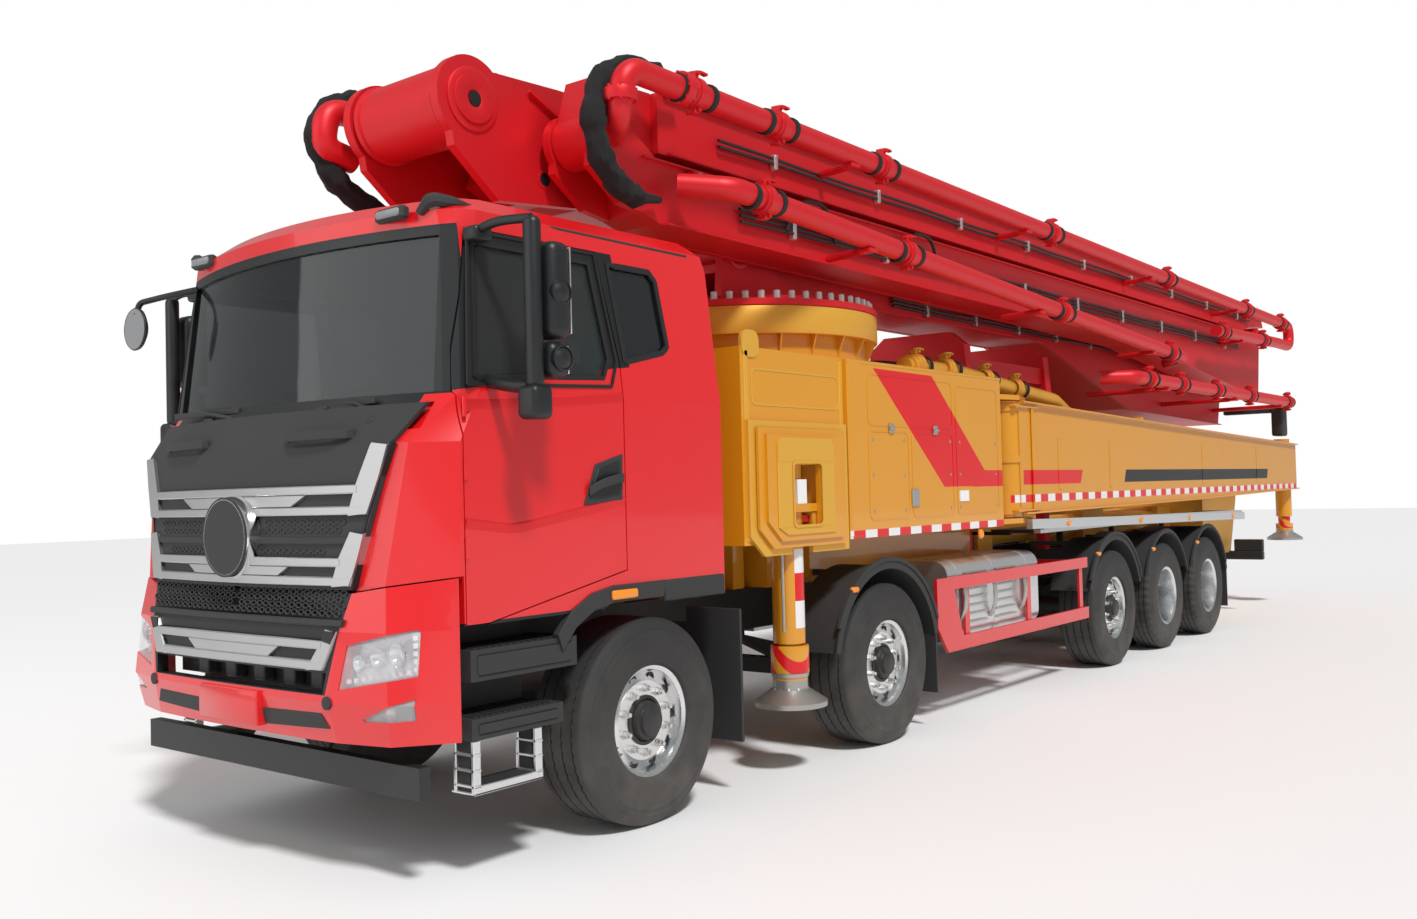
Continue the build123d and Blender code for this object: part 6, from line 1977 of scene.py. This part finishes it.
# ------------------------------------------------------------------ bodywork
@dataclass
class Bodywork:
    """Cabinets, outriggers, deck, tanks, fenders, base pipe and tail lamps."""

    half: float = BODY_HALF

    def panel_frame(self, mesh: Mesh, low: Point, high: Point, side: float, out: float,
                    width: float, radius: float, slot: int = 0) -> None:
        """Door outline: a thin raised ring with rounded corners on the side face.

        Args:
            mesh: What it is added to.
            low: Lower corner (x, z).
            high: Upper corner.
            side: 1 on the left and -1 on the right.
            out: Distance of the face from the middle.
            width: Width of the ring.
            radius: Radius of its corners.
            slot: Material slot of the faces.
        """
        outer = np.array(rounded(low, high, radius))
        mid = outer.mean(axis=0)
        inner = mid + (outer - mid) * (1 - width / np.abs(outer - mid).max(axis=0))
        y = side * out
        rings = []
        for loop, depth in ((outer, -.002), (outer, .002), (inner, .002), (inner, -.002)):
            rings.append(np.stack([loop[:, 0] + AXLE_X, np.full(len(loop), y + side * depth),
                                   loop[:, 1]], axis=1))
        mesh.grid(np.stack(rings), closed_columns=True, slot=slot)

    def build_cabinets(self) -> None:
        """Doors, hinges, latches, blank plates and markers on the side cabinets."""
        skin, steel, lamp, plate = Mesh(), Mesh(), Mesh(), Mesh()
        for side in (-1, 1):
            for low, high in (((-4.15, 1.5), (-3.45, 2.46)), ((-3.4, 1.5), (-2.78, 2.1)),
                              ((-2.74, 1.5), (-2.2, 2.1)), ((-3.4, 2.13), (-2.2, 2.48))):
                self.panel_frame(skin, low, high, side, self.half + .001, .01, .05)
            y0, y1 = span(side, self.half, self.half + .014)
            for x in (-2.5, -3.12):
                steel.block(ax(x - .03, y0, 2.085), ax(x + .03, y1, 2.15), cut=.004)
                steel.tube([ax(x + off, side * (self.half + .014), 2.118)
                            for off in (-.035, .035)], .009, 8)
            y2 = span(side, self.half, self.half + .012)
            steel.block(ax(-2.86, y2[0], 1.58), ax(-2.76, y2[1], 1.7), cut=.004)
            for x in (-2.26, -2.68, -3.35, -3.5, -4.1):
                for z in (1.56, 1.8, 2.04):
                    steel.lathe([(.011, 0), (.011, .004), (0, .006)],
                                ax(x, side * self.half, z), 1, 8, side=side)
            plate.block(ax(-3.62, y2[0], 1.6), ax(-3.48, y2[1] - .004 * max(side, 0), 1.68))
            lamp.lathe([(.036, 0), (.036, .01), (.028, .018), (0, .02)],
                       ax(-3.8, side * self.half, 1.345), 1, 20, side=side)
            edge0, edge1 = span(side, self.half - .03, self.half + .004)
            skin.block(ax(-2.12, edge0, 1.39), ax(-1.955, edge1, 2.555), cut=.016)
            skin.block(ax(-4.225, edge0, 2.535), ax(-1.955, edge1, 2.558), cut=.004)
        skin.piece("cabinet_doors", "root", CabPaint.CABINET)
        steel.piece("cabinet_hinges", "root", Finish.STEEL)
        plate.piece("cabinet_plates", "root", Finish.WHITE)
        lamp.piece("cabinet_markers", "root", Finish.ORANGE)

    def build_front_outriggers(self) -> None:
        """Lifting eye, recessed panel, stacked end plates, window parts and leg fittings."""
        box = Mesh()
        for side in (-1, 1):
            y0, y1 = span(side, self.half - .045, self.half - .022)
            tab = rounded((-1.03 + AXLE_X, 2.5), (-.86 + AXLE_X, 2.66), .06)
            box.slab(tab, 1, y0, y1)
            self.panel_frame(box, (-1.9, 2.22), (-.95, 2.44), side, self.half - .029, .012, .04)
            for x in (-.9, -1.92):
                box.block(ax(x - .02, y0, 1.42), ax(x + .02, y1, 2.54), cut=.006)
        box.piece("outrigger_box_trim", "root", Finish.YELLOW)
        for side, word in SIDES:
            ride = f"front_outrigger_{word}"
            skin, label, steel, ribs, collar = (Mesh() for _ in range(5))
            y0, y1 = span(side, self.half + .034, self.half + .046)
            outer = [(LEG_X + x, z) for x, z in ((-.3, 1.45), (.22, 1.45), (.31, 1.54), (.31, 2.0),
                                                 (.27, 2.03), (-.27, 2.03), (-.3, 2.0))]
            for z0, z1 in ((1.885, 2.03), (1.45, 1.495)):
                skin.slab(placed((x, min(max(z, z0), z1)) for x, z in outer), 1, y0, y1)
            for x0, x1 in ((-1.71, -1.565), (-1.255, -1.1)):
                skin.block(ax(x0, y0, 1.49), ax(x1, y1, 1.89), cut=.004)
            self.panel_frame(skin, (-1.575, 1.49), (-1.245, 1.89), side, self.half + .05, .016,
                             .03)
            yb = span(side, self.half - .06, self.half - .03)
            label.block(ax(-1.46, yb[0] + .03 * max(side, 0), 1.6),
                        ax(-1.36, yb[1] + .03 * max(side, 0), 1.78))
            label.block(ax(-1.54, yb[0], 1.52), ax(-1.28, yb[1], 1.56), 1)
            leg_y = side * (self.half - .125)
            steel.lathe([(.078, 0), (.078, .06), (.112, .075), (.118, .1), (.084, .125),
                         (.084, .15)], ax(LEG_X, leg_y, .5), 2, 40)
            steel.tube([ax(-1.27, leg_y + side * .06, z) for z in (.86, 1.42)], .01, 8)
            for angle in turns(12):
                ribs.fin([(.085, .55), (.15, .445), (.225, .428), (.085, .428)],
                         ax(LEG_X, leg_y), angle)
            collar.lathe([(.086, .6), (.118, .603), (.12, .612), (.12, .758), (.118, .766),
                          (.086, .77)], ax(LEG_X, leg_y, 0), 2, 48)
            collar.piece(f"leg_collar_{word}", ride, CabPaint.COLLAR)
            skin.piece(f"outrigger_plates_{word}", ride, Finish.YELLOW)
            label.piece(f"outrigger_labels_{word}", ride, Finish.WHITE, Finish.BAND_RED)
            steel.piece(f"outrigger_fittings_{word}", f"front_foot_{word}", Finish.STEEL)
            ribs.piece(f"foot_ribs_{word}", f"front_foot_{word}", Finish.STEEL)

    def build_rear_outriggers(self) -> None:
        """Flange lips, hinge collars and lugs of the long beams."""
        for side, word in SIDES:
            mesh = Mesh()
            for line in ([(-4.62, 2.388), (-9.0, 2.272), (-13.55, 2.162)],
                         [(-4.62, 1.477), (-9.0, 1.502), (-13.55, 1.56)]):
                mesh.strip([ax(x, side * 1.238, z) for x, z in line], (0, 1, 0), .045, .014)
            for z in (1.5, 1.92, 2.34):
                mesh.lathe([(.13, -.03), (.142, -.028), (.142, .028), (.13, .03)],
                           ax(-4.6, side * 1.08, z), 2, 36)
            y0, y1 = span(side, 1.222, 1.236)
            mesh.block(ax(-4.86, y0, 1.5), ax(-4.82, y1, 2.36), cut=.004)
            for z in (1.5, 2.35):
                mesh.block(ax(-4.95, span(side, 1.16, 1.246)[0], z - .01),
                           ax(-4.5, span(side, 1.16, 1.246)[1], z + .01), cut=.006)
            y0, y1 = span(side, 1.05, 1.11)
            mesh.slab(placed([(-7.9, 2.29), (-7.85, 2.37), (-7.78, 2.37), (-7.73, 2.285)]),
                      1, y0, y1)
            for x in (-5.4, -6.6, -9.4, -11.6):
                y2, y3 = span(side, 1.219, 1.224)
                mesh.block(ax(x - .03, y2, 1.66), ax(x + .03, y3, 2.1), cut=.002)
            mesh.piece(f"rear_beam_trim_{word}", f"rear_outrigger_{word}", CabPaint.BEAM)

    def build_deck(self) -> None:
        """Deck edge, markers, guard ribs, tank straps and the fenders' beads."""
        edge, lamp, strap, bead = Mesh(), Mesh(), Mesh(), Mesh()
        for side in (-1, 1):
            y0, y1 = span(side, self.half - .05, self.half + .004)
            edge.slab(placed([(-4.75, 1.425), (-10.88, 1.31), (-10.88, 1.232),
                              (-4.75, 1.345)]), 1, y0, y1)
            for x in (-5.5, -7.3, -8.8, -10.4):
                z = float(np.interp(x, [-10.88, -4.75], [1.27, 1.385]))
                lamp.lathe([(.03, 0), (.03, .01), (0, .016)],
                           ax(x, side * (self.half + .004), z), 1, 16, side=side)
            for x in (-3.55, -4.05, -4.6):
                path = [ax(x, side * (.98 + .255 * cos(angle)), .875 + .285 * sin(angle))
                        for angle in np.radians(np.linspace(-90, 90, 13))]
                strap.strip(path, (1, 0, 0), .055, .008)
            for x in (-3.8, -4.32):
                for k in range(7):
                    z = .68 + k * .062
                    y2, y3 = span(side, 1.19, 1.196)
                    strap.block(ax(x - .18, y2, z), ax(x + .18, y3, z + .014))
            for wheel, r in ((-2.42, .7), (-6.61, .7), (-8.04, .66), (-9.44, .66)):
                angle = np.radians(np.linspace(25, 160, 28))
                path = np.stack([wheel + AXLE_X + r * np.cos(angle),
                                 np.full(28, side * (self.half - .002)),
                                 AXLE_Z + r * np.sin(angle)], axis=1)
                bead.strip(path, (0, 1, 0), .022, .028)
                angle = radians(52)
                lamp.pillow(ax(wheel + r * cos(angle) - .03, side * self.half - .02,
                               AXLE_Z + r * sin(angle) - .045),
                            ax(wheel + r * cos(angle) + .05, side * self.half + .02,
                               AXLE_Z + r * sin(angle) - .005), .018, 4)
        edge.piece("deck_edges", "root", Finish.ALUMINIUM)
        lamp.piece("deck_markers", "root", Finish.ORANGE)
        strap.piece("tank_straps", "root", Finish.STEEL)
        bead.piece("fender_beads", "root", Finish.BLACK_PLASTIC)

    def build_base_pipe(self) -> None:
        """Clamps and brackets of the yellow pipe over the cabinets."""
        mesh, ring = Mesh(), Mesh()
        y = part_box("base_pipe")[1][1] - .075
        for x, z in ((-3.7, 2.665), (-4.2, 2.665), (-4.9, 2.62), (-5.5, 2.57)):
            PipeLine().clamp(mesh, ax(x, y, z), 1.0)
            ring.lathe([(.069, -.02), (.08, -.016), (.08, .016), (.069, .02)],
                       ax(x - .15, y, z), 0, 24)
        mesh.piece("base_pipe_clamps", "root", Finish.YELLOW)
        ring.piece("base_pipe_rings", "root", Finish.SEAL)
        pack = Mesh()
        for k in range(5):
            xs = np.linspace(-3.35, -4.6, 9)
            path = np.stack([xs + AXLE_X, np.full(9, .2 + k * .055),
                             2.66 + .05 * np.sin((xs + 4) * 2.4 + k * .6) + .02 * (k % 2)],
                            axis=1)
            pack.tube(path, .026, 10)
        pack.piece("hose_pack", "root", Finish.HOSE)

    def build_tail(self) -> None:
        """Lamp bar under the hopper with its two lamp clusters, and a slatted guard."""
        bar, lamp = Mesh(), Mesh()
        bar.block(ax(-12.075, -1.15, .665), ax(-11.985, 1.15, .775), cut=.01)
        for side in (-1, 1):
            y0, y1 = span(side, .8, 1.15)
            bar.block(ax(-12.07, y0, .775), ax(-11.99, y1, .925), cut=.008)
            for k, slot in enumerate((0, 0, 1, 2)):
                y2, y3 = span(side, .815 + k * .083, .815 + k * .083 + .074)
                lamp.pillow(ax(-12.085, y2, .795), ax(-12.06, y3, .905), .01, 4, slot)
        for k in range(9):
            y = -.6 + k * .15
            bar.block(ax(-12.085, y - .012, .69), ax(-12.07, y + .012, .75), cut=.003)
        bar.piece("tail_bar", "root", Finish.CHASSIS)
        lamp.piece("tail_lamps", "root", Finish.BAND_RED, Finish.ORANGE, Finish.WHITE)

    def build(self) -> None:
        """Everything on the body."""
        self.build_tail()
        self.build_cabinets()
        self.build_front_outriggers()
        self.build_rear_outriggers()
        self.build_deck()
        self.build_base_pipe()


def main() -> None:
    """Build every sub-assembly and the studio."""
    Studio().build()
    dress_frame()
    for part in (Wheels(), FrontEnd(), CabSides(), Bodywork(), Boom(), PipeLine()):
        LOG.info("building %s", type(part).__name__)
        part.build()


if __name__ == "__main__":
    main()
